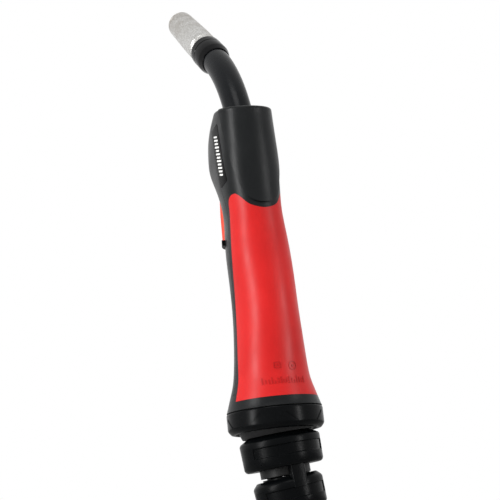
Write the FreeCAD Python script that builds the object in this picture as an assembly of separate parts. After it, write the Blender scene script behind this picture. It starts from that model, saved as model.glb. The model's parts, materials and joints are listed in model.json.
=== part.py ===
import FreeCAD, Part
import math
import os

# MIG welding torch: a hand-held torch with a curved neck, a nose over the trigger,
# a soft overmoulded back and a ball-jointed bend protection.
# Millimetres. Stations run up the handle from its rear seam. +Z points to the neck,
# +Y to the trigger side, X across. The saved parts have their origin at the grip's centre.

V = FreeCAD.Vector

# ---- overall sizes -------------------------------------------------------------
GRIP_CENTRE_Z = 70.0        # height of the grip's centre above the rear seam
RIM_Z = 190.5               # height of the head's open rim on the handle axis
RIM_SLOPE = 9.0             # degrees, the rim rises towards the trigger side
RIM_ROUND = 1.8
WALL_TOTAL = 3.6            # handle wall with the soft layer
GRIP_THICKNESS = 1.6        # soft overmould
SEAM_GAP = 0.25             # joint line between the two shells
DOME_STEP = 1.2             # raised shield on the back of the head
COLLAR_TOP_Z = 9.8          # upper edge of the rear collar
SHELL_CLEARANCE = 0.15      # spigot of the shells in the collar

# handle sections: height, half width, depth to the front, depth to the back,
# fullness of the front and of the back (2 is an ellipse, more is squarer)
SECTIONS = [
    (0.0, 29.0, 29.0, 29.0, 2.0, 2.0),
    (5.0, 27.3, 27.4, 27.6, 2.0, 2.0),
    (10.0, 25.7, 25.2, 26.6, 2.0, 2.0),
    (18.0, 23.5, 21.8, 25.2, 2.0, 2.0),
    (28.0, 22.1, 19.2, 24.8, 2.0, 2.1),
    (42.0, 20.8, 17.6, 25.4, 2.0, 2.2),
    (58.0, 19.8, 17.2, 25.8, 2.0, 2.2),
    (74.0, 19.5, 18.2, 25.0, 2.0, 2.2),
    (90.0, 19.3, 20.8, 23.0, 2.1, 2.2),
    (104.0, 18.6, 23.2, 21.0, 2.2, 2.2),
    (120.0, 17.2, 24.2, 19.6, 2.3, 2.2),
    (134.0, 17.6, 26.0, 19.0, 2.5, 2.1),
    (143.0, 18.0, 30.0, 18.8, 2.8, 2.1),
    (152.0, 18.0, 35.5, 18.6, 3.2, 2.1),
    (164.0, 17.5, 38.6, 18.2, 3.6, 2.1),
    (177.0, 17.0, 36.8, 17.6, 3.4, 2.1),
    (188.0, 16.6, 29.5, 17.4, 2.6, 2.1),
    (204.0, 16.0, 20.0, 17.2, 2.2, 2.1),
]

# depth of the joint line between the shells, as (height, depth) along the handle
PARTING = [
    (-30.0, -1.0), (60.0, -1.5), (105.0, -0.8), (120.0, 0.4), (134.0, 3.4),
    (142.0, 6.2), (160.0, 11.0), (183.0, 16.2), (215.0, 24.0),
]
# edge of the raised shield in side view, from its foot on the back up to the rim
DOME_EDGE = [
    (124.5, -21.0), (127.0, -19.2), (130.5, -17.2), (138.7, -14.8), (147.3, -12.6),
    (158.9, -10.0), (172.5, -6.6), (183.5, -3.8), (206.0, 2.0),
]

# ---- soft grip outline -----------------------------------------------------------
# its front edge in side view, turning over at the top into a rounded corner
GRIP_EDGE = [
    (-30.0, -5.5), (8.0, -5.5), (30.0, -3.6), (60.0, -3.4), (85.0, -4.2), (105.0, -3.9),
    (118.0, -3.0), (126.0, -2.9), (130.2, -3.8), (132.5, -6.6), (133.0, -10.5),
]
GRIP_TONGUE_Z = 121.8       # lowest point of its upper edge, on the back's centre line
GRIP_SHOULDER_X = 15.0      # here the upper edge has risen to the rounded corner
GRIP_SHOULDER_RISE = 11.2
GRIP_BOTTOM_Z = 5.5         # its foot laps over the rear collar
GRIP_FIT = 0.06             # glue line under and around the soft layer

# ---- neck ------------------------------------------------------------------------
NECK_Y = 2.4                # straight stretch of the neck, forward of the handle axis
NECK_START_Z = 104.0        # rear end of the jacket, inside the handle
NECK_BEND_Z = 159.5         # where the bend begins
NECK_BEND_R = 103.0
NECK_BEND_ANGLE = 50.5      # degrees
JACKET_R = 9.0
JACKET_BORE_R = 7.3
INSULATION_R = 7.2
INSULATION_BORE_R = 5.6
CONDUCTOR_R = 5.5
CONDUCTOR_BORE_R = 3.3
CONDUCTOR_AHEAD = 5.6       # the conductor runs on past the bend
LINER_R = 2.4
LINER_BORE_R = 1.2

# ---- front end: distances along the nozzle axis from the end of the bend ---------------
COLLAR_R = 11.0             # black insulating collar
COLLAR_START = -4.4
COLLAR_CHAMFER = 4.8
COLLAR_LENGTH = 20.4
NOZZLE_R = 10.4
NOZZLE_TIP_R = 9.2
NOZZLE_LENGTH = 58.2
NOZZLE_WALL = 1.5
NOZZLE_SLIDE_FIT = 0.06     # radial running fit of the nozzle on its seat
SEAT_R = 8.0                # seat inside the nozzle, on the gas diffuser
HOLDER_R = 5.6
TIP_THREAD_R = 2.55
TIP_R = 4.0
TIP_BORE_R = 0.6
TIP_RECESS = 3.0            # contact tip ends this far inside the nozzle
HOLDER_END = 34.4           # front face of the tip holder

# ---- trigger ---------------------------------------------------------------------
TRIGGER_WIDTH = 18.0
TRIGGER_SIDE_CLEARANCE = 0.5
TRIGGER_FACE_Y = 35.8
TRIGGER_TIP_Z = 110.5
TRIGGER_WALL = 2.0
PIVOT_Y = 24.0
PIVOT_Z = 147.0
PIN_R = 1.5
PIN_FIT = 0.05
PIN_PRESS_FIT = 0.02
PIN_LENGTH = 24.6
HUB_R = 3.6                 # half the height of the trigger's hub round the pin
HUB_CLEARANCE = 0.8
CHEEK_T = 3.0
CHEEK_REACH = 4.6
RIB_Z = 106.4               # finger stop rib below the trigger
RIB_HEIGHT = 3.6
RIB_PROUD = 2.0
RIB_FROM_Y = 9.0            # the rib starts this far forward on the flanks

# ---- switch ----------------------------------------------------------------------
SWITCH_Z = 125.0
SWITCH_BACK_Y = 13.6
SWITCH_FRONT_Y = 21.0
SWITCH_WIDTH = 6.4
SWITCH_HEIGHT = 20.0
TAG_X = 1.9
TAG_T = 0.8
TAG_WIDTH = 3.0
TAG_LENGTH = 6.0
CARRIER_T = 1.0
CARRIER_HALF_WIDTH = 15.0
CARRIER_CLEARANCE = 0.12
PLUNGER_R = 1.3
PLUNGER_OUT = 2.6
PLUNGER_FIT = 0.08
PLUNGER_GAP = 0.15          # free play before the trigger meets the plunger
SPRING_Z = 117.2
SPRING_R = 2.3
SPRING_WIRE_R = 0.35
SPRING_COILS = 5
SPRING_SEAT_T = 1.2

# ---- power block -------------------------------------------------------------------
BLOCK_BOTTOM_Z = 76.0
BLOCK_TOP_Z = 98.0
BLOCK_HALF_X = 8.5
BLOCK_HALF_Y = 9.0
NUT_FLATS = 19.0
NIPPLE_R = 5.0
NIPPLE_LENGTH = 22.0
BARB_COUNT = 4
BARB_PITCH = 4.0
BARB_PROUD = 0.7
CONDUCTOR_DEPTH = 13.5      # the conductor goes this far into the block
SOCKET_FIT = 0.05
O_RING_DEPTHS = (4.0, 8.0)
O_RING_R = 0.45
NUT_HEIGHT = 5.6

# ---- rear ball joint -----------------------------------------------------------------
BALL_CENTRE_Z = -5.0
BALL_R = 24.0
BALL_WALL = 2.4
BALL_FIT = 0.3
BALL_TOP = 6.0              # ball kept this far above its centre
BALL_BOTTOM = 10.0          # and this far below
SEAT_RING_T = 1.3
SEAT_RING_DOWN = 4.8        # from the ball's centre down and up
SEAT_RING_UP = 8.6
SEAT_RING_PLAY = 0.4
NUT_R = 29.6
NUT_BOTTOM_Z = -13.2
NUT_GAP = 0.25              # joint line between the nut and the collar
COLLAR_SPIGOT_R = 27.6
COLLAR_SPIGOT_Z = -6.0
COLLAR_BORE_R = 22.6
COLLAR_STEP_Z = 7.2         # the shells stand on this step inside the collar
SPIGOT_WALL = 1.3
THREAD_FIT = 0.15

# ---- bend protection -------------------------------------------------------------------
RELIEF_TILT = 5.0           # degrees, rest lean towards +X about the ball's centre
RELIEF_BEND = 3.0           # degrees that each of the first gaps adds
RELIEF_NECK_R = 20.0        # foot of the first link's shoulder
HOSE_BORE_R = 13.0
HOSE_END_R = 12.5           # the last link's end lip, snug on the hose
HOSE_END_LENGTH = 10.0
RELIEF_CORNER = 2.5         # the centre line rounds each bend over this length each way
STUB_R = 15.2
STUB_END_Z = -39.8
STUB_GAP = 0.25             # below the stub in its socket
# links: top, bottom, outer radius at the top and at the bottom
LINKS = [
    (-15.2, -35.0, 24.6, 24.0),
    (-41.0, -60.5, 21.3, 20.6),
    (-66.5, -85.0, 20.2, 19.5),
    (-91.0, -108.0, 19.0, 18.3),
    (-113.5, -129.0, 17.8, 17.0),
]
LINK_SHOULDER = 3.0
WEB_WIDTH = 9.0
WEB_REACH = 7.2             # the webs run this far down the next link
WEB_PROUD = 0.25
CORE_R = 14.4               # thin sleeve inside the links
PANEL_DEPTH = 0.9
PANEL_HEIGHT = 7.0
PANEL_ANGLE = 138.0         # degrees that the recessed panel spans on each side

# ---- fasteners ---------------------------------------------------------------------------
SCREW_PLACES = [(13.4, 30.0), (-13.4, 30.0), (12.4, 66.0), (-12.4, 66.0)]
SCREW_SHANK_R = 1.45
SCREW_HEAD_R = 2.8
SCREW_HEAD_T = 2.0
SCREW_HEAD_CLEARANCE = 0.3
SCREW_RIM = 0.5             # a head lies this far below the lower side of its recess
SCREW_CROSS = (0.4, 1.8, 1.0)   # half width, half length and depth below the head's top
SCREW_BITE = 9.0            # thread in the back shell
PILOT_CLEARANCE = 0.05
THROUGH_CLEARANCE = 0.25
BOSS_R = 4.2
LABEL_LENGTH = 41.0
LABEL_WIDTH = 10.6
LABEL_LEAN = 13.0           # degrees
LABEL_Y = 4.2
LABEL_Z = 161.3
LABEL_DEPTH = 0.8
LABEL_PROUD = 0.15
LABEL_GAP = 0.1


def save(name, solids):
    """Write one node, moved so that the origin is the grip's centre."""
    shape = solids[0] if len(solids) == 1 else Part.makeCompound(solids)
    shape = shape.copy()
    shape.translate(V(0, 0, -GRIP_CENTRE_Z))
    shape.exportStep("parts/" + name + ".step")
    print(name, len(shape.Solids), round(shape.Volume), shape.isValid())


def cylinder(radius, z_low, z_high, x=0.0, y=0.0):
    """An upright cylinder between two heights."""
    return Part.makeCylinder(radius, z_high - z_low, V(x, y, z_low))


def box(x_low, x_high, y_low, y_high, z_low, z_high):
    """A box between its two corners."""
    size = (x_high - x_low, y_high - y_low, z_high - z_low)
    return Part.makeBox(size[0], size[1], size[2], V(x_low, y_low, z_low))


def revolve(points):
    """A ring or cup: (radius, height) points turned about the Z axis."""
    corners = [V(r, 0, z) for r, z in points]
    face = Part.Face(Part.makePolygon(corners + corners[:1]))
    return face.revolve(V(0, 0, 0), V(0, 0, 1), 360)


def handle_outline(section, offset):
    """One closed section of the handle, moved outwards by offset."""
    height, half, front, back, full_front, full_back = section
    points = []
    count = 24
    for step in range(count):
        angle = 2 * math.pi * step / count
        depth = front if math.sin(angle) >= 0 else back
        power = 2 / (full_front if math.sin(angle) >= 0 else full_back)
        across = (half + offset) * math.copysign(abs(math.cos(angle)) ** power, math.cos(angle))
        along = (depth + offset) * math.copysign(abs(math.sin(angle)) ** power, math.sin(angle))
        points.append(V(across, along, height))
    curve = Part.BSplineCurve()
    curve.interpolate(points, PeriodicFlag=True)
    return Part.Wire(curve.toShape())


MADE_BODIES = {}


def handle_body(offset):
    """The whole handle as one solid, grown or shrunk by offset."""
    if offset not in MADE_BODIES:
        wires = [handle_outline(section, offset) for section in SECTIONS]
        MADE_BODIES[offset] = Part.makeLoft(wires, True, False)
    return MADE_BODIES[offset]


def side_prism(points, half_width=60.0):
    """A slab across X whose side view is the closed outline (depth, height)."""
    corners = [V(-half_width, y, z) for y, z in points]
    face = Part.Face(Part.makePolygon(corners + corners[:1]))
    return face.extrude(V(2 * half_width, 0, 0))


def curve_prism(curve, shift, far_y):
    """Everything on one side, towards far_y, of a smooth (height, depth) curve."""
    spline = Part.BSplineCurve()
    spline.interpolate([V(-60, y + shift, z) for z, y in curve])
    start = V(-60, curve[0][1] + shift, curve[0][0])
    end = V(-60, curve[-1][1] + shift, curve[-1][0])
    edges = [
        spline.toShape(),
        Part.makeLine(end, V(-60, far_y, end.z)),
        Part.makeLine(V(-60, far_y, end.z), V(-60, far_y, start.z)),
        Part.makeLine(V(-60, far_y, start.z), start),
    ]
    face = Part.Face(Part.Wire(edges))
    return face.extrude(V(120, 0, 0))


def above_rim():
    """The space cut away over the sloping rim of the head."""
    rise = math.tan(math.radians(RIM_SLOPE))
    reach = 80.0
    return side_prism([
        (-reach, RIM_Z - reach * rise), (reach, RIM_Z + reach * rise),
        (reach, RIM_Z + 2 * reach), (-reach, RIM_Z + 2 * reach),
    ])


def round_rim(body):
    """Cut a handle body along the sloping rim and round its outer edge."""
    trimmed = body.cut(above_rim())
    rise = math.radians(RIM_SLOPE)
    normal = V(0, -math.sin(rise), math.cos(rise))
    rim_edges = []
    for face in trimmed.Faces:
        middle = face.CenterOfMass
        if face.Surface.TypeId == "Part::GeomPlane" and middle.z > RIM_Z - 20:
            if abs(face.normalAt(0, 0).dot(normal)) > 0.999:
                rim_edges = face.OuterWire.Edges
    return trimmed.makeFillet(RIM_ROUND, rim_edges)


def front_side(shift=0.0):
    """The space of the front shell, forward of the joint line."""
    return curve_prism(PARTING, shift, 90.0)


def back_side(shift=0.0):
    """The space of the back shell, behind the joint line."""
    return curve_prism(PARTING, shift, -90.0)


def grip_window(clearance=0.0):
    """The outline of the soft grip: side view by its front edge, back view by its waved top."""
    side = curve_prism(GRIP_EDGE, -clearance, -90.0)
    low = GRIP_BOTTOM_Z + clearance
    foot = GRIP_TONGUE_Z - clearance
    half_wave = [(0.0, 0.0), (0.35, 0.09), (0.58, 0.25), (0.81, 0.64), (1.0, 1.0), (1.25, 1.25)]
    right_side = [(GRIP_SHOULDER_X * u, foot + GRIP_SHOULDER_RISE * w) for u, w in half_wave]
    left_side = [(-x, z) for x, z in reversed(right_side[1:])]
    wave = left_side + right_side
    spline = Part.BSplineCurve()
    spline.interpolate([V(x, -60, z) for x, z in wave])
    left = V(wave[0][0], -60, wave[0][1])
    right = V(wave[-1][0], -60, wave[-1][1])
    edges = [
        spline.toShape(),
        Part.makeLine(right, V(40, -60, right.z)),
        Part.makeLine(V(40, -60, right.z), V(40, -60, low)),
        Part.makeLine(V(40, -60, low), V(-40, -60, low)),
        Part.makeLine(V(-40, -60, low), V(-40, -60, left.z)),
        Part.makeLine(V(-40, -60, left.z), left),
    ]
    back_view = Part.Face(Part.Wire(edges)).extrude(V(0, 120, 0))
    return side.common(back_view).common(box(-60, 60, -60, 60, low - 1, GRIP_EDGE[-1][0] - clearance))


def neck_path(start_z, extra):
    """The neck's centre line from start_z, up and round the bend, and straight on by extra."""
    angle = math.radians(NECK_BEND_ANGLE)

    def on_bend(turn):
        y = NECK_Y + NECK_BEND_R * (1 - math.cos(turn))
        return V(0, y, NECK_BEND_Z + NECK_BEND_R * math.sin(turn))

    first = V(0, NECK_Y, start_z)
    begin = V(0, NECK_Y, NECK_BEND_Z)
    finish = on_bend(angle)
    ahead = V(0, math.sin(angle), math.cos(angle))
    edges = [
        Part.makeLine(first, begin),
        Part.Arc(begin, on_bend(angle / 2), finish).toShape(),
    ]
    if extra > 0:
        edges.append(Part.makeLine(finish, finish + ahead * extra))
    return Part.Wire(edges)


def neck_rod(radius, start_z, extra):
    """A solid rod along the neck's centre line."""
    circle = Part.Wire(Part.makeCircle(radius, V(0, NECK_Y, start_z), V(0, 0, 1)))
    return neck_path(start_z, extra).makePipeShell([circle], True, False)


def neck_tube(radius, bore, start_z, extra):
    """A tube along the neck's centre line."""
    return neck_rod(radius, start_z, extra).cut(neck_rod(bore, start_z, extra))


def to_nozzle_axis(shape):
    """Carry a shape built up the Z axis onto the nozzle axis, its z=0 at the bend's end."""
    angle = math.radians(NECK_BEND_ANGLE)
    moved = shape.copy()
    moved.rotate(V(0, 0, 0), V(1, 0, 0), -NECK_BEND_ANGLE)
    moved.translate(V(
        0, NECK_Y + NECK_BEND_R * (1 - math.cos(angle)),
        NECK_BEND_Z + NECK_BEND_R * math.sin(angle)))
    return moved


def tilt_relief(shape):
    """Lean a rear piece about the ball's centre to its rest position."""
    moved = shape.copy()
    moved.rotate(V(0, 0, BALL_CENTRE_Z), V(0, 1, 0), -RELIEF_TILT)
    return moved


def screw_towers(outer, side, radius):
    """Round screw posts inside one shell."""
    posts = []
    for x, z in SCREW_PLACES:
        post = Part.makeCylinder(radius, 80, V(x, -40, z), V(0, 1, 0))
        posts.append(post.common(outer).common(side))
    return posts


def label_prism(side, grow):
    """The leaning rounded rectangle of a label, run out across the flank on one side."""
    length = LABEL_LENGTH + 2 * grow
    width = LABEL_WIDTH + 2 * grow
    plate = Part.makeBox(40, width, length, V(0, -width / 2, -length / 2))
    edges = [e for e in plate.Edges if abs(e.tangentAt(e.FirstParameter).x) > 0.9]
    plate = plate.makeFillet(1.6, edges)
    plate.rotate(V(0, 0, 0), V(1, 0, 0), -LABEL_LEAN)
    plate.translate(V(0, LABEL_Y, LABEL_Z))
    if side < 0:
        plate = plate.mirror(V(0, 0, 0), V(1, 0, 0))
    return plate


def shell_spigots():
    """Rounded lower ends of the shells, which plug into the rear collar."""
    radius = COLLAR_BORE_R - SHELL_CLEARANCE
    low = COLLAR_STEP_Z + SHELL_CLEARANCE
    ring = cylinder(radius, low, COLLAR_TOP_Z + 2)
    return ring.cut(cylinder(radius - SPIGOT_WALL, low - 1, COLLAR_TOP_Z + 3))


def back_shell(outer, under, hollow, dome):
    """Back half of the handle: head with its raised shield, and the frame under the grip."""
    shield = dome.common(curve_prism(DOME_EDGE, 0.0, -90.0))
    body = outer.fuse(shield).cut(hollow)
    body = body.common(box(-60, 60, -60, 60, COLLAR_TOP_Z + SHELL_CLEARANCE, 260))
    body = body.cut(above_rim())
    pocket = grip_window().cut(under)
    body = body.cut(pocket)
    body = body.fuse(shell_spigots())
    for post in screw_towers(under, back_side(), BOSS_R):
        body = body.fuse(post)
    body = body.common(back_side(-SEAM_GAP / 2))
    for x, z in SCREW_PLACES:
        tip = PARTING[0][1] - SCREW_BITE
        pilot = Part.makeCylinder(SCREW_SHANK_R + PILOT_CLEARANCE, 60, V(x, tip - 1.0, z), V(0, 1, 0))
        body = body.cut(pilot)
    body = body.fuse(neck_bulkhead(hollow).common(back_side(-SEAM_GAP / 2)))
    for side in (-1, 1):
        body = body.cut(label_prism(side, LABEL_GAP).cut(handle_body(-LABEL_DEPTH)))
    return body


def neck_bulkhead(hollow):
    """Two ribs inside the head that hold the neck."""
    ribs = []
    for low, high in ((104.5, 107.5), (150.0, 153.0)):
        ribs.append(hollow.common(box(-40, 40, -40, 60, low, high)))
    hole = neck_rod(JACKET_R + 0.1, NECK_START_Z - 10, 0)
    return ribs[0].fuse(ribs[1]).cut(hole)


def trigger_slot():
    """Opening in the front shell for the trigger."""
    half = TRIGGER_WIDTH / 2 + TRIGGER_SIDE_CLEARANCE
    return box(-half, half, 14.0, 60, TRIGGER_TIP_Z - 1.2, PIVOT_Z - 0.6)


def hinge_cheeks(outer):
    """The nose's two inner walls that hold the trigger's pin."""
    inner = TRIGGER_WIDTH / 2 + TRIGGER_SIDE_CLEARANCE
    cheeks = []
    for low, high in ((-inner - CHEEK_T, -inner), (inner, inner + CHEEK_T)):
        cheek = box(
            low, high, PIVOT_Y - CHEEK_REACH, PIVOT_Y + CHEEK_REACH,
            PIVOT_Z - CHEEK_REACH, PIVOT_Z + CHEEK_REACH)
        cheeks.append(cheek.common(outer))
    return cheeks


def front_shell(outer, hollow):
    """Front half of the handle: nose, trigger opening, finger stop rib and screw posts."""
    rib_zone = box(-60, 60, RIB_FROM_Y, 60, RIB_Z - RIB_HEIGHT / 2, RIB_Z + RIB_HEIGHT / 2)
    rib = handle_body(RIB_PROUD).common(rib_zone)
    body = outer.fuse(rib).cut(hollow)
    body = body.common(box(-60, 60, -60, 60, COLLAR_TOP_Z + SHELL_CLEARANCE, 260))
    body = body.cut(above_rim())
    body = body.fuse(shell_spigots())
    for post in screw_towers(outer, front_side(), BOSS_R):
        body = body.fuse(post)
    body = body.common(front_side(SEAM_GAP / 2))
    body = body.cut(trigger_slot())
    half = TRIGGER_WIDTH / 2 + TRIGGER_SIDE_CLEARANCE
    hub_room = Part.makeCylinder(HUB_R + HUB_CLEARANCE, 2 * half, V(-half, PIVOT_Y, PIVOT_Z), V(1, 0, 0))
    body = body.cut(hub_room)
    for cheek in hinge_cheeks(outer):
        body = body.fuse(cheek)
    pin_hole = Part.makeCylinder(
        PIN_R + PIN_PRESS_FIT, PIN_LENGTH + 0.2, V(-PIN_LENGTH / 2 - 0.1, PIVOT_Y, PIVOT_Z), V(1, 0, 0))
    body = body.cut(pin_hole)
    for x, z in SCREW_PLACES:
        through = Part.makeCylinder(SCREW_SHANK_R + THROUGH_CLEARANCE, 60, V(x, -20, z), V(0, 1, 0))
        recess = Part.makeCylinder(
            SCREW_HEAD_R + SCREW_HEAD_CLEARANCE, 60, V(x, screw_seat(x, z), z), V(0, 1, 0))
        body = body.cut(through).cut(recess)
    return body


def front_depth(x, z):
    """Distance from the handle axis to its front face at a place across and up the handle."""
    below = max(row for row in SECTIONS if row[0] <= z)
    above = min(row for row in SECTIONS if row[0] > z)
    share = (z - below[0]) / (above[0] - below[0])
    half, front, full = (below[k] + (above[k] - below[k]) * share for k in (1, 2, 4))
    return front * (1 - (abs(x) / half) ** full) ** (1 / full)


def screw_seat(x, z):
    """Depth of the flat that a screw head sits on, below the low side of its recess."""
    low_side = abs(x) + SCREW_HEAD_R + SCREW_HEAD_CLEARANCE
    return front_depth(low_side, z) - SCREW_RIM - SCREW_HEAD_T


def screws():
    """Four pan head screws from the front."""
    solids = []
    for x, z in SCREW_PLACES:
        seat = screw_seat(x, z)
        tip = PARTING[0][1] - SCREW_BITE
        shank = Part.makeCylinder(SCREW_SHANK_R, seat - tip, V(x, tip, z), V(0, 1, 0))
        head = Part.makeCylinder(SCREW_HEAD_R, SCREW_HEAD_T, V(x, seat, z), V(0, 1, 0))
        thin, long, deep = SCREW_CROSS
        floor = seat + SCREW_HEAD_T - deep
        upright = box(x - thin, x + thin, floor, seat + 5, z - long, z + long)
        level = box(x - long, x + long, floor, seat + 5, z - thin, z + thin)
        solids.append(shank.fuse(head).cut(upright).cut(level))
    return solids


def label_plate(side):
    """A thin plate let into the head's flank."""
    plate = label_prism(side, 0).common(handle_body(LABEL_PROUD))
    return plate.cut(handle_body(-LABEL_DEPTH + 0.05))


def rear_collar(outer, under):
    """Flared ring at the rear end: thread for the ring nut, upper ball seat, rebate for the grip."""
    body = outer.common(box(-60, 60, -60, 60, 0, COLLAR_TOP_Z))
    body = body.cut(grip_window().cut(under))
    body = body.fuse(cylinder(COLLAR_SPIGOT_R, COLLAR_SPIGOT_Z, 1.0))
    outer_seat = BALL_R + BALL_FIT + SEAT_RING_T + BALL_FIT
    seat_top = BALL_CENTRE_Z + SEAT_RING_UP + SEAT_RING_PLAY
    seat = Part.makeSphere(outer_seat, V(0, 0, BALL_CENTRE_Z))
    body = body.cut(seat.common(box(-60, 60, -60, 60, -40, seat_top)))
    body = body.cut(Part.makeSphere(BALL_R + BALL_FIT, V(0, 0, BALL_CENTRE_Z)))
    body = body.cut(cylinder(outer_seat, COLLAR_SPIGOT_Z - 1, BALL_CENTRE_Z))
    body = body.cut(cylinder(19.0, -20, 20))
    return body.cut(cylinder(COLLAR_BORE_R, COLLAR_STEP_Z, 20))


def ring_nut():
    """Union nut that holds the ball in the collar."""
    outer_seat = BALL_R + BALL_FIT + SEAT_RING_T + BALL_FIT
    body = revolve([
        (10, NUT_BOTTOM_Z), (NUT_R - 2.4, NUT_BOTTOM_Z), (NUT_R - 0.5, NUT_BOTTOM_Z + 2.4),
        (NUT_R, NUT_BOTTOM_Z + 3.2), (NUT_R, -1.2), (NUT_R - 0.6, -NUT_GAP), (10, -NUT_GAP),
    ])
    body = body.cut(cylinder(COLLAR_SPIGOT_R + THREAD_FIT, COLLAR_SPIGOT_Z - 0.3, 5))
    seat_foot = BALL_CENTRE_Z - SEAT_RING_DOWN - SEAT_RING_PLAY
    seat = Part.makeSphere(outer_seat, V(0, 0, BALL_CENTRE_Z))
    body = body.cut(seat.common(box(-60, 60, -60, 60, seat_foot, 20)))
    body = body.cut(Part.makeSphere(BALL_R + BALL_FIT, V(0, 0, BALL_CENTRE_Z)))
    mouth = Part.makeCone(BALL_R + 1.4, BALL_R - 1.4, 2.8, V(0, 0, NUT_BOTTOM_Z - 0.6))
    return body.cut(mouth).cut(cylinder(17.0, -40, 20))


def seat_ring():
    """Split plastic ring in which the ball turns."""
    body = Part.makeSphere(BALL_R + BALL_FIT + SEAT_RING_T, V(0, 0, BALL_CENTRE_Z))
    body = body.cut(Part.makeSphere(BALL_R + BALL_FIT, V(0, 0, BALL_CENTRE_Z)))
    low = BALL_CENTRE_Z - SEAT_RING_DOWN
    body = body.common(box(-60, 60, -60, 60, low, BALL_CENTRE_Z + SEAT_RING_UP))
    return body


def joint_ball():
    """Hollow ball with the stub that carries the bend protection."""
    ball = Part.makeSphere(BALL_R, V(0, 0, BALL_CENTRE_Z))
    hollow = Part.makeSphere(BALL_R - BALL_WALL, V(0, 0, BALL_CENTRE_Z))
    neck_z = BALL_CENTRE_Z - BALL_BOTTOM
    ball = ball.common(box(-60, 60, -60, 60, neck_z, BALL_CENTRE_Z + BALL_TOP))
    stub = cylinder(STUB_R, STUB_END_Z, neck_z + 2)
    body = ball.fuse(stub)
    body = body.cut(hollow.common(box(-60, 60, -60, 60, neck_z + 2.2, 60)))
    body = body.cut(cylinder(HOSE_BORE_R, STUB_END_Z - 1, 40))
    return tilt_relief(body)


def link(top, bottom, r_top, r_bottom, foot):
    """One stiff link of the bend protection, with a shoulder and two recessed panels."""
    body = revolve([
        (0, top), (foot, top), (r_top, top - LINK_SHOULDER),
        (r_bottom, bottom + 1.6), (r_bottom - 1.6, bottom), (0, bottom),
    ])
    middle = (top + bottom) / 2
    height = PANEL_HEIGHT if top - bottom > 12 else 3.0
    for facing in (-90, 90):
        band = revolve([
            (r_bottom - PANEL_DEPTH, middle - height / 2), (r_top + 5, middle - height / 2),
            (r_top + 5, middle + height / 2), (r_bottom - PANEL_DEPTH, middle + height / 2),
        ])
        wedge = Part.makeCylinder(60, 200, V(0, 0, -180), V(0, 0, 1), PANEL_ANGLE)
        wedge.rotate(V(0, 0, 0), V(0, 0, 1), facing - PANEL_ANGLE / 2)
        body = body.cut(band.common(wedge))
    return body


def flex(shape, index):
    """Bend a link sideways about the middle of each of the first gaps above it."""
    moved = shape.copy()
    for gap in range(min(index, 2), 0, -1):
        pivot = (LINKS[gap - 1][1] + LINKS[gap][0]) / 2
        moved.rotate(V(0, 0, pivot), V(0, 1, 0), -RELIEF_BEND)
    return moved


def relief_path(start_z, end_z):
    """The bend protection's centre line, straight through each link and rounded in the first gaps."""
    half_turn = math.radians(RELIEF_BEND / 2)
    inside = RELIEF_CORNER / math.tan(half_turn) * (1 / math.cos(half_turn) - 1)
    edges = []
    last = V(0, 0, start_z)
    for gap in (1, 2):
        pivot = (LINKS[gap - 1][1] + LINKS[gap][0]) / 2
        before = flex(Part.Vertex(V(0, 0, pivot + RELIEF_CORNER)), gap - 1).Point
        after = flex(Part.Vertex(V(0, 0, pivot - RELIEF_CORNER)), gap).Point
        corner = flex(Part.Vertex(V(0, 0, pivot)), gap - 1).Point
        middle = corner + (before + after - corner * 2).normalize() * inside
        edges.append(Part.makeLine(last, before))
        edges.append(Part.Arc(before, middle, after).toShape())
        last = after
    edges.append(Part.makeLine(last, flex(Part.Vertex(V(0, 0, end_z)), len(LINKS) - 1).Point))
    return Part.Wire(edges)


def relief_rod(radius, start_z, end_z):
    """A solid rod along the bend protection's centre line."""
    circle = Part.Wire(Part.makeCircle(radius, V(0, 0, start_z), V(0, 0, 1)))
    return relief_path(start_z, end_z).makePipeShell([circle], True, False)


def bend_protection():
    """Rubber bend protection: stiff links on one sleeve, joined by pairs of webs a quarter turn on."""
    last = len(LINKS) - 1
    body = relief_rod(CORE_R, LINKS[0][1] + 1.0, LINKS[last][1] + 1.0)
    for index, (top, bottom, r_top, r_bottom) in enumerate(LINKS):
        foot = RELIEF_NECK_R if index == 0 else r_top - LINK_SHOULDER
        body = body.fuse(flex(link(top, bottom, r_top, r_bottom, foot), index))
    for index in range(1, len(LINKS)):
        gap_top = LINKS[index - 1][1] + 2.0
        gap_bottom = LINKS[index][0] - WEB_REACH
        ring = cylinder(LINKS[index][2] + WEB_PROUD, gap_bottom, gap_top)
        half = WEB_WIDTH / 2
        fore_and_aft = box(-half, half, -60, 60, -200, 0)
        side_to_side = box(-60, 60, -half, half, -200, 0)
        web = ring.common(fore_and_aft if index % 2 == 1 else side_to_side)
        body = body.fuse(flex(web, index - 1))
    body = body.cut(relief_rod(HOSE_BORE_R, LINKS[0][0] + 1.0, LINKS[last][1] + HOSE_END_LENGTH))
    lip = cylinder(HOSE_END_R, LINKS[last][1] - 1.0, LINKS[last][1] + HOSE_END_LENGTH + 1.0)
    body = body.cut(flex(lip, last))
    socket = cylinder(STUB_R + 0.1, STUB_END_Z - STUB_GAP, LINKS[0][0] + 1.0)
    return tilt_relief(body.cut(socket))


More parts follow.
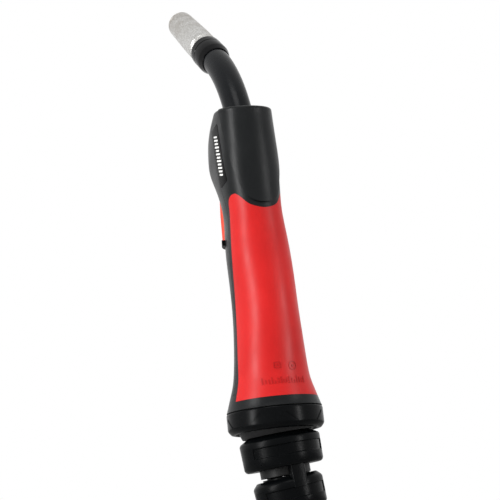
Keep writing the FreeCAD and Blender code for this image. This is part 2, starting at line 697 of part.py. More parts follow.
def trigger():
    """Hollow lever with a hub on the pivot pin and a nub that presses the switch."""
    half = TRIGGER_WIDTH / 2
    outline = [
        (PIVOT_Y + 2.8, PIVOT_Z + 1.4), (PIVOT_Y + 3.2, PIVOT_Z - 1.6), (PIVOT_Y + 6.6, PIVOT_Z - 3.2),
        (TRIGGER_FACE_Y - 1.4, 139.0), (TRIGGER_FACE_Y, 131.0), (TRIGGER_FACE_Y + 0.4, 121.0),
        (TRIGGER_FACE_Y + 0.7, TRIGGER_TIP_Z + 3.5), (TRIGGER_FACE_Y - 2.0, TRIGGER_TIP_Z),
        (TRIGGER_FACE_Y - 8.6, TRIGGER_TIP_Z + 0.6), (TRIGGER_FACE_Y - 12.0, TRIGGER_TIP_Z + 9.0),
        (PIVOT_Y - 3.4, PIVOT_Z - 3.4), (PIVOT_Y - 3.4, PIVOT_Z + 1.4), (PIVOT_Y - 1.6, PIVOT_Z + 3.2),
        (PIVOT_Y + 1.2, PIVOT_Z + 3.2),
    ]
    body = side_prism(outline, half)
    face_edges = []
    for edge in body.Edges:
        middle = edge.valueAt((edge.FirstParameter + edge.LastParameter) / 2)
        flank = abs(abs(middle.x) - half) < 0.01
        if flank and middle.y > TRIGGER_FACE_Y - 1.2:
            face_edges.append(edge)
    body = body.makeFillet(1.8, face_edges)
    inside = side_prism([
        (PIVOT_Y + 4.4, 140.5), (TRIGGER_FACE_Y - TRIGGER_WALL - 0.8, 136.0),
        (TRIGGER_FACE_Y - TRIGGER_WALL, 113.5), (10.0, 113.5), (10.0, 140.0),
    ], half - TRIGGER_WALL)
    body = body.cut(inside)
    nub_back = SWITCH_FRONT_Y + PLUNGER_OUT + PLUNGER_GAP
    nub = box(-2.0, 2.0, nub_back, TRIGGER_FACE_Y - 1.0, SWITCH_Z - 2.0, SWITCH_Z + 2.0)
    body = body.fuse(nub)
    post = Part.makeCylinder(
        SPRING_R - SPRING_WIRE_R - 0.2, 3.0,
        V(0, TRIGGER_FACE_Y - TRIGGER_WALL - 2.9, SPRING_Z), V(0, 1, 0))
    body = body.fuse(post)
    return body.cut(Part.makeCylinder(PIN_R + PIN_FIT, 60, V(-30, PIVOT_Y, PIVOT_Z), V(1, 0, 0)))


def switch_parts():
    """Switch body with its terminals, its plunger, and the carrier that holds it."""
    half = SWITCH_WIDTH / 2
    low = SWITCH_Z - SWITCH_HEIGHT / 2
    body = box(-half, half, SWITCH_BACK_Y, SWITCH_FRONT_Y, low + 6.0, low + SWITCH_HEIGHT)
    body = body.makeFillet(0.6, body.Edges)
    hole = Part.makeCylinder(PLUNGER_R + PLUNGER_FIT, 5.0, V(0, SWITCH_FRONT_Y - 5.0, SWITCH_Z), V(0, 1, 0))
    body = body.cut(hole)
    plunger = Part.makeCylinder(
        PLUNGER_R, PLUNGER_OUT + 2.0, V(0, SWITCH_FRONT_Y - 2.0, SWITCH_Z), V(0, 1, 0))
    top = low + SWITCH_HEIGHT
    tags = []
    for x in (-TAG_X, TAG_X):
        tag = box(
            x - TAG_T / 2, x + TAG_T / 2, SWITCH_BACK_Y + 1.6, SWITCH_BACK_Y + 1.6 + TAG_WIDTH,
            top, top + TAG_LENGTH)
        tags.append(tag)
    return body, plunger, tags


def switch_carrier(hollow):
    """Bracket across the front shell, behind the switch and under the spring."""
    body = box(
        -CARRIER_HALF_WIDTH, CARRIER_HALF_WIDTH, SWITCH_BACK_Y - CARRIER_T, SWITCH_BACK_Y,
        NECK_START_Z + 4.0, PIVOT_Z - 4.0)
    inner = SWITCH_WIDTH / 2 + 0.1
    for low, high in ((-inner - CARRIER_T, -inner), (inner, inner + CARRIER_T)):
        wall = box(low, high, SWITCH_BACK_Y - 0.5, SWITCH_FRONT_Y - 1, SWITCH_Z - 3.5, SWITCH_Z + 8)
        body = body.fuse(wall)
    seat = box(
        -SPRING_R - 0.9, SPRING_R + 0.9, SWITCH_BACK_Y - 0.5, SWITCH_BACK_Y + SPRING_SEAT_T,
        SPRING_Z - 4.4, SPRING_Z + 1.6)
    body = body.fuse(seat)
    body = body.cut(neck_rod(JACKET_R + 0.15, 90.0, 0))
    return body.common(hollow).common(front_side(0.4))


def trigger_spring():
    """Compression spring between the carrier and the trigger."""
    start = SWITCH_BACK_Y + SPRING_SEAT_T + 0.05 + SPRING_WIRE_R
    length = TRIGGER_FACE_Y - TRIGGER_WALL - SPRING_WIRE_R - 0.35 - start
    helix = Part.makeHelix(length / SPRING_COILS, length, SPRING_R)
    circle = Part.Wire(Part.makeCircle(SPRING_WIRE_R, V(SPRING_R, 0, 0), V(0, 1, 0)))
    coil = Part.Wire(helix).makePipeShell([circle], True, True)
    coil.rotate(V(0, 0, 0), V(1, 0, 0), -90)
    coil.translate(V(0, start, SPRING_Z))
    return coil


def power_block():
    """Brass block that joins the neck to the hose, with its nipple."""
    body = box(
        -BLOCK_HALF_X, BLOCK_HALF_X, NECK_Y - BLOCK_HALF_Y, NECK_Y + BLOCK_HALF_Y,
        BLOCK_BOTTOM_Z, BLOCK_TOP_Z)
    edges = [e for e in body.Edges if abs(e.tangentAt(e.FirstParameter).z) > 0.9]
    body = body.makeChamfer(1.5, edges)
    nipple = cylinder(NIPPLE_R, BLOCK_BOTTOM_Z - NIPPLE_LENGTH, BLOCK_BOTTOM_Z + 1, 0, NECK_Y)
    body = body.fuse(nipple)
    for step in range(BARB_COUNT):
        low = BLOCK_BOTTOM_Z - NIPPLE_LENGTH + 3.0 + BARB_PITCH * step
        barb = Part.makeCone(NIPPLE_R, NIPPLE_R + BARB_PROUD, 2.4, V(0, NECK_Y, low))
        body = body.fuse(barb)
    socket_z = BLOCK_TOP_Z - CONDUCTOR_DEPTH - 0.5
    body = body.cut(cylinder(CONDUCTOR_R + SOCKET_FIT, socket_z, BLOCK_TOP_Z + 1, 0, NECK_Y))
    return body.cut(cylinder(CONDUCTOR_BORE_R, BLOCK_BOTTOM_Z - 40, BLOCK_TOP_Z, 0, NECK_Y))


def neck_nut():
    """Hexagonal union nut that draws the neck into the block."""
    corner = NUT_FLATS / math.sqrt(3)
    points = []
    for k in range(7):
        turn = math.radians(60 * k)
        points.append(V(corner * math.cos(turn), NECK_Y + corner * math.sin(turn), BLOCK_TOP_Z + 0.05))
    body = Part.Face(Part.makePolygon(points)).extrude(V(0, 0, NUT_HEIGHT))
    return body.cut(cylinder(CONDUCTOR_R + 0.1, BLOCK_TOP_Z - 1, BLOCK_TOP_Z + 20, 0, NECK_Y))


def o_rings():
    """Two sealing rings on the neck's end inside the block."""
    rings = []
    for depth in O_RING_DEPTHS:
        place = V(0, NECK_Y, BLOCK_TOP_Z - depth)
        rings.append(Part.makeTorus(CONDUCTOR_R - O_RING_R, O_RING_R, place))
    return rings


def conductor():
    """Copper inner tube of the neck, grooved at its rear end for the sealing rings."""
    body = neck_tube(CONDUCTOR_R, CONDUCTOR_BORE_R, BLOCK_TOP_Z - CONDUCTOR_DEPTH, CONDUCTOR_AHEAD)
    for depth in O_RING_DEPTHS:
        middle = BLOCK_TOP_Z - depth
        groove = cylinder(CONDUCTOR_R + 1, middle - O_RING_R - 0.05, middle + O_RING_R + 0.05, 0, NECK_Y)
        body = body.cut(groove.cut(cylinder(CONDUCTOR_R - 2 * O_RING_R, 0, 200, 0, NECK_Y)))
    return body


def nozzle_collar():
    """Glossy insulating collar on the end of the neck."""
    end = COLLAR_START + COLLAR_LENGTH
    body = revolve([
        (JACKET_R + 0.12, COLLAR_START), (COLLAR_R - 2.2, COLLAR_START),
        (COLLAR_R, COLLAR_START + COLLAR_CHAMFER), (COLLAR_R, end),
        (SEAT_R + 1.0, end), (SEAT_R + 1.0, end - 7.0),
        (CONDUCTOR_R + 1.9, end - 7.0), (CONDUCTOR_R + 1.9, 0.05), (JACKET_R + 0.12, 0.05),
    ])
    return to_nozzle_axis(body)


def tip_holder():
    """Copper holder screwed onto the conductor, with the thread for the contact tip."""
    start = 0.3
    step = COLLAR_START + COLLAR_LENGTH - 8.0
    stop = CONDUCTOR_AHEAD + 0.8
    body = revolve([
        (CONDUCTOR_R + 0.1, start), (CONDUCTOR_R + 1.8, start), (CONDUCTOR_R + 1.8, step),
        (HOLDER_R, step), (HOLDER_R, HOLDER_END), (TIP_THREAD_R + 0.05, HOLDER_END),
        (TIP_THREAD_R + 0.05, stop), (CONDUCTOR_R + 0.1, stop),
    ])
    return to_nozzle_axis(body)


def gas_diffuser():
    """Ceramic gas diffuser with a ring of outlets; the nozzle seats on it."""
    end = COLLAR_START + COLLAR_LENGTH
    body = revolve([
        (HOLDER_R + 0.1, end - 6.8), (SEAT_R - 0.4, end - 6.8),
        (SEAT_R - 0.4, end + 8.0), (HOLDER_R + 0.1, end + 8.0),
    ])
    for index in range(8):
        hole = Part.makeCylinder(0.9, 12, V(0, 0, end + 5.6), V(1, 0, 0))
        hole.rotate(V(0, 0, 0), V(0, 0, 1), 45 * index)
        body = body.cut(hole)
    return to_nozzle_axis(body)


def nozzle_spring():
    """Sprung ring in the seat that grips the nozzle."""
    end = COLLAR_START + COLLAR_LENGTH
    ring = cylinder(SEAT_R - 0.02, end + 0.4, end + 3.4).cut(cylinder(SEAT_R - 0.36, end, end + 4))
    ring = ring.cut(box(-0.6, 0.6, 0, 20, -10, 60))
    return to_nozzle_axis(ring)


def contact_tip():
    """Copper contact tip."""
    start = HOLDER_END + 0.05
    end = COLLAR_START + COLLAR_LENGTH + NOZZLE_LENGTH - TIP_RECESS
    body = revolve([
        (TIP_BORE_R, start - 6.0), (TIP_THREAD_R, start - 6.0), (TIP_THREAD_R, start),
        (TIP_R, start), (TIP_R, end - 5.0), (2.2, end), (TIP_BORE_R, end),
    ])
    return to_nozzle_axis(body)


def gas_nozzle():
    """Tapered nickel-plated nozzle, pulled off forwards."""
    start = COLLAR_START + COLLAR_LENGTH + 0.25
    end = start + NOZZLE_LENGTH
    seat = SEAT_R + NOZZLE_SLIDE_FIT
    body = revolve([
        (seat, start), (NOZZLE_R, start), (NOZZLE_R, start + 3.0), (NOZZLE_R - 0.25, start + 3.3),
        (NOZZLE_R - 0.25, start + 4.0), (NOZZLE_R, start + 4.3), (NOZZLE_R, start + 20.0),
        (NOZZLE_TIP_R, end - 1.0), (NOZZLE_TIP_R - 0.4, end), (NOZZLE_TIP_R - NOZZLE_WALL, end),
        (NOZZLE_R - NOZZLE_WALL, start + 22.0), (NOZZLE_R - NOZZLE_WALL, start + 12.0),
        (seat, start + 10.0),
    ])
    return to_nozzle_axis(body)


def main():
    os.makedirs("parts", exist_ok=True)
    outer = round_rim(handle_body(0.0))
    under = handle_body(-GRIP_THICKNESS)
    hollow = handle_body(-WALL_TOTAL)
    dome = round_rim(handle_body(DOME_STEP))
    print("lofts", outer.isValid(), under.isValid(), hollow.isValid(), dome.isValid())

    save("back_shell", [back_shell(outer, under, hollow, dome)])
    grip = grip_window(GRIP_FIT).common(outer).cut(handle_body(-GRIP_THICKNESS + GRIP_FIT))
    save("soft_grip", [grip])
    save("front_shell", [front_shell(outer, hollow)])
    save("label_plate_left", [label_plate(-1)])
    save("label_plate_right", [label_plate(1)])
    save("housing_screws", screws())
    save("rear_collar", [rear_collar(outer, under)])
    save("ring_nut", [ring_nut()])
    save("ball_seat_ring", [seat_ring()])
    save("joint_ball", [joint_ball()])
    save("bend_protection", [bend_protection()])

    save("neck_jacket", [neck_tube(JACKET_R, JACKET_BORE_R, NECK_START_Z, 0)])
    save("neck_insulation", [neck_tube(INSULATION_R, INSULATION_BORE_R, NECK_START_Z + 0.5, 0)])
    save("neck_conductor", [conductor()])
    save("wire_liner", [neck_tube(LINER_R, LINER_BORE_R, BLOCK_BOTTOM_Z - NIPPLE_LENGTH - 2, 18.0)])
    save("neck_union_nut", [neck_nut()])
    save("power_block", [power_block()])
    save("neck_o_rings", o_rings())

    save("nozzle_collar", [nozzle_collar()])
    save("tip_holder", [tip_holder()])
    save("gas_diffuser", [gas_diffuser()])
    save("nozzle_spring", [nozzle_spring()])
    save("contact_tip", [contact_tip()])
    save("gas_nozzle", [gas_nozzle()])

    save("trigger", [trigger()])
    pin = Part.makeCylinder(PIN_R, PIN_LENGTH, V(-PIN_LENGTH / 2, PIVOT_Y, PIVOT_Z), V(1, 0, 0))
    save("trigger_pin", [pin])
    save("trigger_spring", [trigger_spring()])
    body, plunger, tags = switch_parts()
    save("switch_body", [body])
    save("switch_plunger", [plunger])
    save("switch_terminals", tags)
    save("switch_carrier", [switch_carrier(handle_body(-WALL_TOTAL - CARRIER_CLEARANCE))])


main()
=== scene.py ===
# %% [markdown]
# A hand-held welding torch: a bent neck with a metal nozzle, a handle made of two black
# shells with a soft red back, and a jointed sleeve behind it. The frame below is the
# engineered model, in metres, with every moving part on its own body. This file only gives
# it its looks: finer pieces where a moulding or a turned part needs them, and finishes.

# %% Load the frame
import json
import math

import bmesh
import bpy
from mathutils import Matrix, Vector
from mathutils.bvhtree import BVHTree


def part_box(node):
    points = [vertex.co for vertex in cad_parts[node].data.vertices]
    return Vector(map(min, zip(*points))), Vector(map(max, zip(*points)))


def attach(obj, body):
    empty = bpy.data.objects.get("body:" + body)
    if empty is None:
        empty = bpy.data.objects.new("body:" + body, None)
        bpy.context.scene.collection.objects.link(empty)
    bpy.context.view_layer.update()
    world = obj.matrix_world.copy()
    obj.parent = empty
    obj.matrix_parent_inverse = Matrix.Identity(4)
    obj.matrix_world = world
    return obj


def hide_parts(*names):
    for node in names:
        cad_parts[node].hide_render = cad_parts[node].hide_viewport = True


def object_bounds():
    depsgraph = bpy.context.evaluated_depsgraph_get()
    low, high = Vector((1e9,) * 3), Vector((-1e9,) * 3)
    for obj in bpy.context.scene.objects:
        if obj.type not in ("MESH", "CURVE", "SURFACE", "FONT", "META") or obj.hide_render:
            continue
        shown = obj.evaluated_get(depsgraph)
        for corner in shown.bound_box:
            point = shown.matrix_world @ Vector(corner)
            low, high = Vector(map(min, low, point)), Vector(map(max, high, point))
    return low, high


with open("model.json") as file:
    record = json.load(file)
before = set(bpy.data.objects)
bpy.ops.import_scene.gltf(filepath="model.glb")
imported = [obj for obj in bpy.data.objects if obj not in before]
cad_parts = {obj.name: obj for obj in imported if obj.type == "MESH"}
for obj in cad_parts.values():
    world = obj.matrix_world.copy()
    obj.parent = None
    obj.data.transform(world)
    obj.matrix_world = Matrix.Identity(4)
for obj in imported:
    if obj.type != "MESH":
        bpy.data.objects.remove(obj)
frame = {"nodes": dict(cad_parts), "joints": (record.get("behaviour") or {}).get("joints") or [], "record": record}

MM = 0.001
cad_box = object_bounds()
print("frame", [round(x, 4) for x in cad_box[0]], [round(x, 4) for x in cad_box[1]])

# %% [markdown]
# Sizes come from the frame wherever it holds them. A turned part is described by its axis:
# how far the engineered piece reaches along it and how wide it is there. Reading both from
# the frame means that a finer copy of the piece is always the size of the original.

# %% Axes and measures
joints = {joint["name"]: joint for joint in frame["joints"]}
mounts = {mount["name"]: mount for mount in frame["record"]["mounts"]}
nozzle_axis = Vector(joints["nozzle_pull_off"]["axis"]).normalized()
nozzle_point = Vector(mounts["nozzle_outside"]["pos_m"])
handle_axis = Vector((0, 0, 1))
handle_point = Vector((0, 0, 0))


def reach(node, point, axis):
    """Lowest and highest distance of a CAD node along an axis through a point."""
    along = [(v.co - point).dot(axis) for v in frame["nodes"][node].data.vertices]
    return min(along), max(along)


def radii(node, point, axis, low, high):
    """Smallest and largest radius of a CAD node between two distances along an axis."""
    found = []
    for vertex in frame["nodes"][node].data.vertices:
        offset = vertex.co - point
        along = offset.dot(axis)
        if low <= along <= high:
            found.append((offset - axis * along).length)
    return min(found), max(found)


nozzle_low, nozzle_high = reach("gas_nozzle", nozzle_point, nozzle_axis)
print("nozzle length", round((nozzle_high - nozzle_low) / MM, 2))

# %% [markdown]
# Every new piece ends the same way: the mesh becomes an object at the origin, it rides on a body, it takes the
# place of the engineered solid, and it takes its finish. One function does this, so that no piece is forgotten.
# Edges sharper than the given angle stay crisp and all the rest is shaded smooth.

# %% Finishing a piece
made = []


def finished(bm, name, body, material, replaced=(), sharp=35.0):
    """Turn a bmesh into a piece that rides on a body."""
    bmesh.ops.remove_doubles(bm, verts=bm.verts, dist=0.001 * MM)
    bmesh.ops.recalc_face_normals(bm, faces=bm.faces)
    mesh = bpy.data.meshes.new(name)
    bm.to_mesh(mesh)
    bm.free()
    mesh.shade_smooth()
    mesh.set_sharp_from_angle(angle=math.radians(sharp))
    piece = bpy.data.objects.new(name, mesh)
    bpy.context.scene.collection.objects.link(piece)
    mesh.materials.append(material)
    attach(piece, body)
    for node in replaced:
        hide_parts(node)
    made.append(name)
    print("made", name, len(mesh.polygons), "faces")
    return piece


def soften(piece, width, segments=2, angle=30.0):
    """A small live bevel on the sharp edges, as a mould or a tool leaves them."""
    bevel = piece.modifiers.new("Softened edges", "BEVEL")
    bevel.width = width * MM
    bevel.segments = segments
    bevel.limit_method = "ANGLE"
    bevel.angle_limit = math.radians(angle)
    bevel.harden_normals = True
    return piece


def onto_axis(bm, point, axis):
    """Carry a shape made up the Z axis onto an axis through a point."""
    turn = Vector((0, 0, 1)).rotation_difference(axis).to_matrix().to_4x4()
    bmesh.ops.transform(bm, matrix=Matrix.Translation(point) @ turn, verts=bm.verts)


def turned(profile, steps=96):
    """A closed ring: (radius, height) points in millimetres spun round the Z axis."""
    bm = bmesh.new()
    corners = [bm.verts.new((radius * MM, 0, height * MM)) for radius, height in profile]
    edges = [bm.edges.new((corners[k - 1], corners[k])) for k in range(len(corners))]
    bmesh.ops.spin(
        bm, geom=corners + edges, cent=(0, 0, 0), axis=(0, 0, 1),
        angle=2 * math.pi, steps=steps, use_merge=True)
    return bm


def add(bm, part):
    """Move a part's mesh into another bmesh and give back its vertices there."""
    spare = bpy.data.meshes.new("part")
    part.to_mesh(spare)
    part.free()
    count = len(bm.verts)
    bm.from_mesh(spare)
    bpy.data.meshes.remove(spare)
    bm.verts.ensure_lookup_table()
    return bm.verts[count:]


def block(length, width, height, cuts=0):
    """A box-shaped part in millimetres, cut across so that it can follow a curve."""
    part = bmesh.new()
    bmesh.ops.create_cube(part, size=MM)
    bmesh.ops.scale(part, vec=(length, width, height), verts=part.verts)
    if cuts:
        bmesh.ops.subdivide_edges(part, edges=list(part.edges), cuts=cuts, use_grid_fill=True)
    return part


# %% [markdown]
# Finishes are built from a few shared effects. Each effect is a node group with named inputs
# and outputs, so a material reads like a recipe: this much grain, this much drift in colour.
# The groups put out only values and colours; the shader itself stays in each material.

# %% Node groups: the tools
def new_group(name, inputs, outputs):
    """An empty shader node group with float, colour or vector sockets."""
    group = bpy.data.node_groups.new(name, "ShaderNodeTree")
    for label, kind, default in inputs:
        socket = group.interface.new_socket(name=label, in_out="INPUT", socket_type="NodeSocket" + kind)
        if default is not None:
            socket.default_value = default
    for label, kind in outputs:
        group.interface.new_socket(name=label, in_out="OUTPUT", socket_type="NodeSocket" + kind)
    return group, group.nodes.new("NodeGroupInput"), group.nodes.new("NodeGroupOutput")


def noise(tree, vector, scale, detail=4.0, roughness=0.5, distortion=0.0):
    """A noise texture read at a vector; scale may be a number or a socket."""
    node = tree.nodes.new("ShaderNodeTexNoise")
    node.inputs["Detail"].default_value = detail
    node.inputs["Roughness"].default_value = roughness
    node.inputs["Distortion"].default_value = distortion
    tree.links.new(vector, node.inputs["Vector"])
    put(tree, scale, node.inputs["Scale"])
    return node.outputs["Fac"]


def put(tree, value, socket):
    """Link a socket, or write a plain number or colour."""
    if isinstance(value, bpy.types.NodeSocket):
        tree.links.new(value, socket)
    else:
        socket.default_value = value


def maths(tree, operation, first, second=0.0, clamp=False):
    """One Math node."""
    node = tree.nodes.new("ShaderNodeMath")
    node.operation = operation
    node.use_clamp = clamp
    put(tree, first, node.inputs[0])
    put(tree, second, node.inputs[1])
    return node.outputs[0]


def spread(tree, value, from_low, from_high, to_low, to_high):
    """One Map Range node, clamped."""
    node = tree.nodes.new("ShaderNodeMapRange")
    put(tree, value, node.inputs["Value"])
    put(tree, from_low, node.inputs["From Min"])
    put(tree, from_high, node.inputs["From Max"])
    put(tree, to_low, node.inputs["To Min"])
    put(tree, to_high, node.inputs["To Max"])
    return node.outputs["Result"]


def mixed(tree, amount, first, second):
    """One colour Mix node."""
    node = tree.nodes.new("ShaderNodeMix")
    node.data_type = "RGBA"
    put(tree, amount, node.inputs["Factor"])
    put(tree, first, node.inputs["A"])
    put(tree, second, node.inputs["B"])
    return node.outputs["Result"]


# %% [markdown]
# Moulded plastic carries the texture of its mould: a fine spark-eroded grain that breaks up
# reflections, and slow patches where the surface was handled and polished. A displacement
# of real geometry would need millions of faces for this, so it is a height for a bump node.

# %% Group: mould grain
def make_grain():
    group, taken, given = new_group(
        "Mould grain",
        [("Vector", "Vector", None), ("Grain size", "Float", 2500.0), ("Smoothest", "Float", 0.35),
         ("Roughest", "Float", 0.5)],
        [("Height", "Float"), ("Roughness", "Float"), ("Patches", "Float")])
    fine = noise(group, taken.outputs["Vector"], taken.outputs["Grain size"], 3.0, 0.6)
    coarse = noise(group, taken.outputs["Vector"], 60.0, 3.0, 0.55)
    patches = spread(group, coarse, 0.35, 0.65, 0.0, 1.0)
    wander = maths(group, "ADD", maths(group, "MULTIPLY", patches, 0.8), maths(group, "MULTIPLY", fine, 0.2))
    rough = spread(group, wander, 0.0, 1.0, taken.outputs["Smoothest"], taken.outputs["Roughest"])
    group.links.new(fine, given.inputs["Height"])
    group.links.new(rough, given.inputs["Roughness"])
    group.links.new(patches, given.inputs["Patches"])
    return group


grain_group = make_grain()

# %% [markdown]
# Nothing that is used stays one colour. Dust settles in faint clouds and hands leave paler
# smears, so this group drifts between a base colour and two neighbours of it. The cloud size
# is an input because a large grip and a small nut show marks of different sizes.

# %% Group: colour drift
def make_drift():
    group, taken, given = new_group(
        "Colour drift",
        [("Vector", "Vector", None), ("Base", "Color", (0.5, 0.5, 0.5, 1)),
         ("Deep", "Color", (0.4, 0.4, 0.4, 1)), ("Dust", "Color", (0.6, 0.6, 0.6, 1)),
         ("Cloud size", "Float", 40.0), ("Dust amount", "Float", 0.2)],
        [("Color", "Color"), ("Dust mask", "Float")])
    cloud = noise(group, taken.outputs["Vector"], taken.outputs["Cloud size"], 4.0, 0.6)
    specks = noise(group, taken.outputs["Vector"], 900.0, 2.0, 0.7)
    deep = spread(group, cloud, 0.3, 0.7, 0.0, 1.0)
    body = mixed(group, deep, taken.outputs["Deep"], taken.outputs["Base"])
    dusty = spread(group, cloud, 0.45, 0.75, 0.0, 1.0)
    scattered = maths(group, "MULTIPLY", dusty, spread(group, specks, 0.5, 0.8, 0.2, 1.0))
    dust = maths(group, "MULTIPLY", scattered, taken.outputs["Dust amount"], True)
    group.links.new(mixed(group, dust, body, taken.outputs["Dust"]), given.inputs["Color"])
    group.links.new(dust, given.inputs["Dust mask"])
    return group


drift_group = make_drift()

# %% [markdown]
# A lathe leaves fine rings round a turned part, and drawing a tube leaves fine streaks along
# it. Both are bands across one direction with a little noise in them. The vector is turned
# by a Mapping node first, so that Z is the axis of the part, and the group reads only that.

# %% Group: tool lines
def make_lines():
    group, taken, given = new_group(
        "Tool lines",
        [("Vector", "Vector", None), ("Pitch", "Float", 3000.0), ("Wander", "Float", 0.3)],
        [("Height", "Float"), ("Streaks", "Float")])
    parts = group.nodes.new("ShaderNodeSeparateXYZ")
    group.links.new(taken.outputs["Vector"], parts.inputs[0])
    joined = group.nodes.new("ShaderNodeCombineXYZ")
    group.links.new(maths(group, "MULTIPLY", parts.outputs["X"], taken.outputs["Wander"]), joined.inputs["X"])
    group.links.new(maths(group, "MULTIPLY", parts.outputs["Y"], taken.outputs["Wander"]), joined.inputs["Y"])
    group.links.new(maths(group, "MULTIPLY", parts.outputs["Z"], 10.0), joined.inputs["Z"])
    fine = noise(group, joined.outputs[0], taken.outputs["Pitch"], 2.0, 0.7)
    broad = noise(group, joined.outputs[0], 120.0, 3.0, 0.5)
    group.links.new(fine, given.inputs["Height"])
    group.links.new(broad, given.inputs["Streaks"])
    return group


lines_group = make_lines()

# %% [markdown]
# A material starts the same way each time: a Principled shader, the object's own coordinates,
# and a bump that takes its height from a group. What is the same all over a surface, such as
# its metal or its coat, is written on the shader itself.

# %% Materials: the tools
def new_material(name, roughness=0.5, metallic=0.0, specular=0.5, coat=0.0, coat_roughness=0.1):
    """A material with its shader and object coordinates ready."""
    material = bpy.data.materials.new(name)
    material.use_nodes = True
    tree = material.node_tree
    shader = tree.nodes["Principled BSDF"]
    shader.inputs["Roughness"].default_value = roughness
    shader.inputs["Metallic"].default_value = metallic
    shader.inputs["Specular IOR Level"].default_value = specular
    shader.inputs["Coat Weight"].default_value = coat
    shader.inputs["Coat Roughness"].default_value = coat_roughness
    place = tree.nodes.new("ShaderNodeTexCoord").outputs["Object"]
    return material, tree, shader, place


def use_group(tree, group, vector, **values):
    """Place a group in a material and write its inputs; names use _ for a space."""
    node = tree.nodes.new("ShaderNodeGroup")
    node.node_tree = group
    tree.links.new(vector, node.inputs["Vector"])
    for name, value in values.items():
        put(tree, value, node.inputs[name.replace("_", " ")])
    return node.outputs


def bump(tree, shader, height, depth):
    """Give the shader a bump of this depth in millimetres."""
    node = tree.nodes.new("ShaderNodeBump")
    node.inputs["Distance"].default_value = depth * MM
    tree.links.new(height, node.inputs["Height"])
    tree.links.new(node.outputs["Normal"], shader.inputs["Normal"])


def shade(colour, factor):
    """The same colour, lighter or darker, with alpha."""
    return tuple(min(1.0, part * factor) for part in colour[:3]) + (1.0,)


def moulded(name, colour, smooth, rough, grain=2500.0, depth=0.03, dust=0.15, clouds=40.0, specular=0.5):
    """Moulded plastic or rubber: grain, drift and dust."""
    material, tree, shader, place = new_material(name, specular=specular)
    texture = use_group(tree, grain_group, place, Grain_size=grain, Smoothest=smooth, Roughest=rough)
    tint = use_group(
        tree, drift_group, place, Base=shade(colour, 1.0), Deep=shade(colour, 0.82),
        Dust=(0.45, 0.44, 0.42, 1), Cloud_size=clouds, Dust_amount=dust)
    tree.links.new(tint["Color"], shader.inputs["Base Color"])
    tree.links.new(texture["Roughness"], shader.inputs["Roughness"])
    bump(tree, shader, texture["Height"], depth)
    return material


def machined(name, colour, axis, smooth, rough, pitch=3000.0, depth=0.01,
             tarnish=(0.5, 0.45, 0.4, 1), amount=0.2):
    """Turned or drawn metal: tool lines along an axis, and tarnish in clouds."""
    material, tree, shader, place = new_material(name, metallic=1.0)
    mapping = tree.nodes.new("ShaderNodeMapping")
    mapping.vector_type = "POINT"
    mapping.inputs["Rotation"].default_value = axis.rotation_difference(Vector((0, 0, 1))).to_euler()
    tree.links.new(place, mapping.inputs["Vector"])
    cut = use_group(tree, lines_group, mapping.outputs[0], Pitch=pitch, Wander=0.3)
    tint = use_group(
        tree, drift_group, place, Base=shade(colour, 1.0), Deep=shade(colour, 0.86),
        Dust=tarnish, Cloud_size=90.0, Dust_amount=amount)
    tree.links.new(tint["Color"], shader.inputs["Base Color"])
    tree.links.new(spread(tree, cut["Streaks"], 0.3, 0.7, smooth, rough), shader.inputs["Roughness"])
    bump(tree, shader, cut["Height"], depth)
    return material


# %% [markdown]
# The black shells are glass-filled nylon with a satin grain. Their black is not zero: a slight
# blue in the body colour keeps the lit sides cool. The rubber of the sleeve is darker and
# duller, and the union nut is smoother because it is moulded in a polished tool.

# %% Black finishes
shell_black = moulded(
    "Satin black nylon", (0.0050, 0.0058, 0.0064), 0.27, 0.38, 2200.0, 0.06, 0.015, specular=0.15)
nut_black = moulded(
    "Polished black nylon", (0.0018, 0.0022, 0.0026), 0.20, 0.30, 1800.0, 0.02, 0.01, specular=0.055)
sleeve_black = moulded(
    "Black rubber", (0.0016, 0.0020, 0.0024), 0.22, 0.34, 1500.0, 0.05, 0.01, specular=0.055)
ball_black = moulded(
    "Black ball plastic", (0.006, 0.006, 0.0065), 0.38, 0.5, 2000.0, 0.03, 0.05, specular=0.2)
neck_black = moulded(
    "Neck coating", (0.0028, 0.0036, 0.0048), 0.22, 0.30, 1400.0, 0.025, 0.01, specular=0.13)
seal_black = moulded("Seal rubber", (0.01, 0.01, 0.01), 0.4, 0.6)
inner_grey = moulded("Insulating sleeve", (0.10, 0.10, 0.105), 0.4, 0.55)
plate_black = moulded(
    "Label plate", (0.0015, 0.0016, 0.0018), 0.20, 0.30, 1200.0, 0.008, 0.02, specular=0.04)

# %% [markdown]
# The soft back of the grip is a rubbery red layer. Light enters it a little and comes back
# redder, which is subsurface scattering. A real amount of it costs a lot of render time, so
# only a trace is used, and the satin highlight comes from a moderate roughness.

# %% Red finishes
grip_red = moulded(
    "Soft red overmould", (0.62, 0.0130, 0.0125), 0.36, 0.46, 1700.0, 0.03, 0.02, 25.0, specular=0.22)
grip_red.node_tree.nodes["Principled BSDF"].inputs["Subsurface Weight"].default_value = 0.05
grip_red.node_tree.nodes["Principled BSDF"].inputs["Subsurface Scale"].default_value = 0.002
# The marks' red is deeper than the grip's: painted shade for the shadows round raised marks.
painted_shade_mark_red = moulded("Grip marks in painted shade", (0.46, 0.0075, 0.0075), 0.36, 0.46, 1700.0, 0.03, 0.02, 25.0, specular=0.22)
trigger_red = moulded(
    "Trigger red", (0.78, 0.052, 0.014), 0.36, 0.46, 2200.0, 0.025, 0.02, specular=0.22)

# %% [markdown]
# The insulating collar is the one glossy piece: a smooth thermoset, so a clear coat over a
# near-black body gives it one hard highlight. Fine scratches keep it from looking wet.

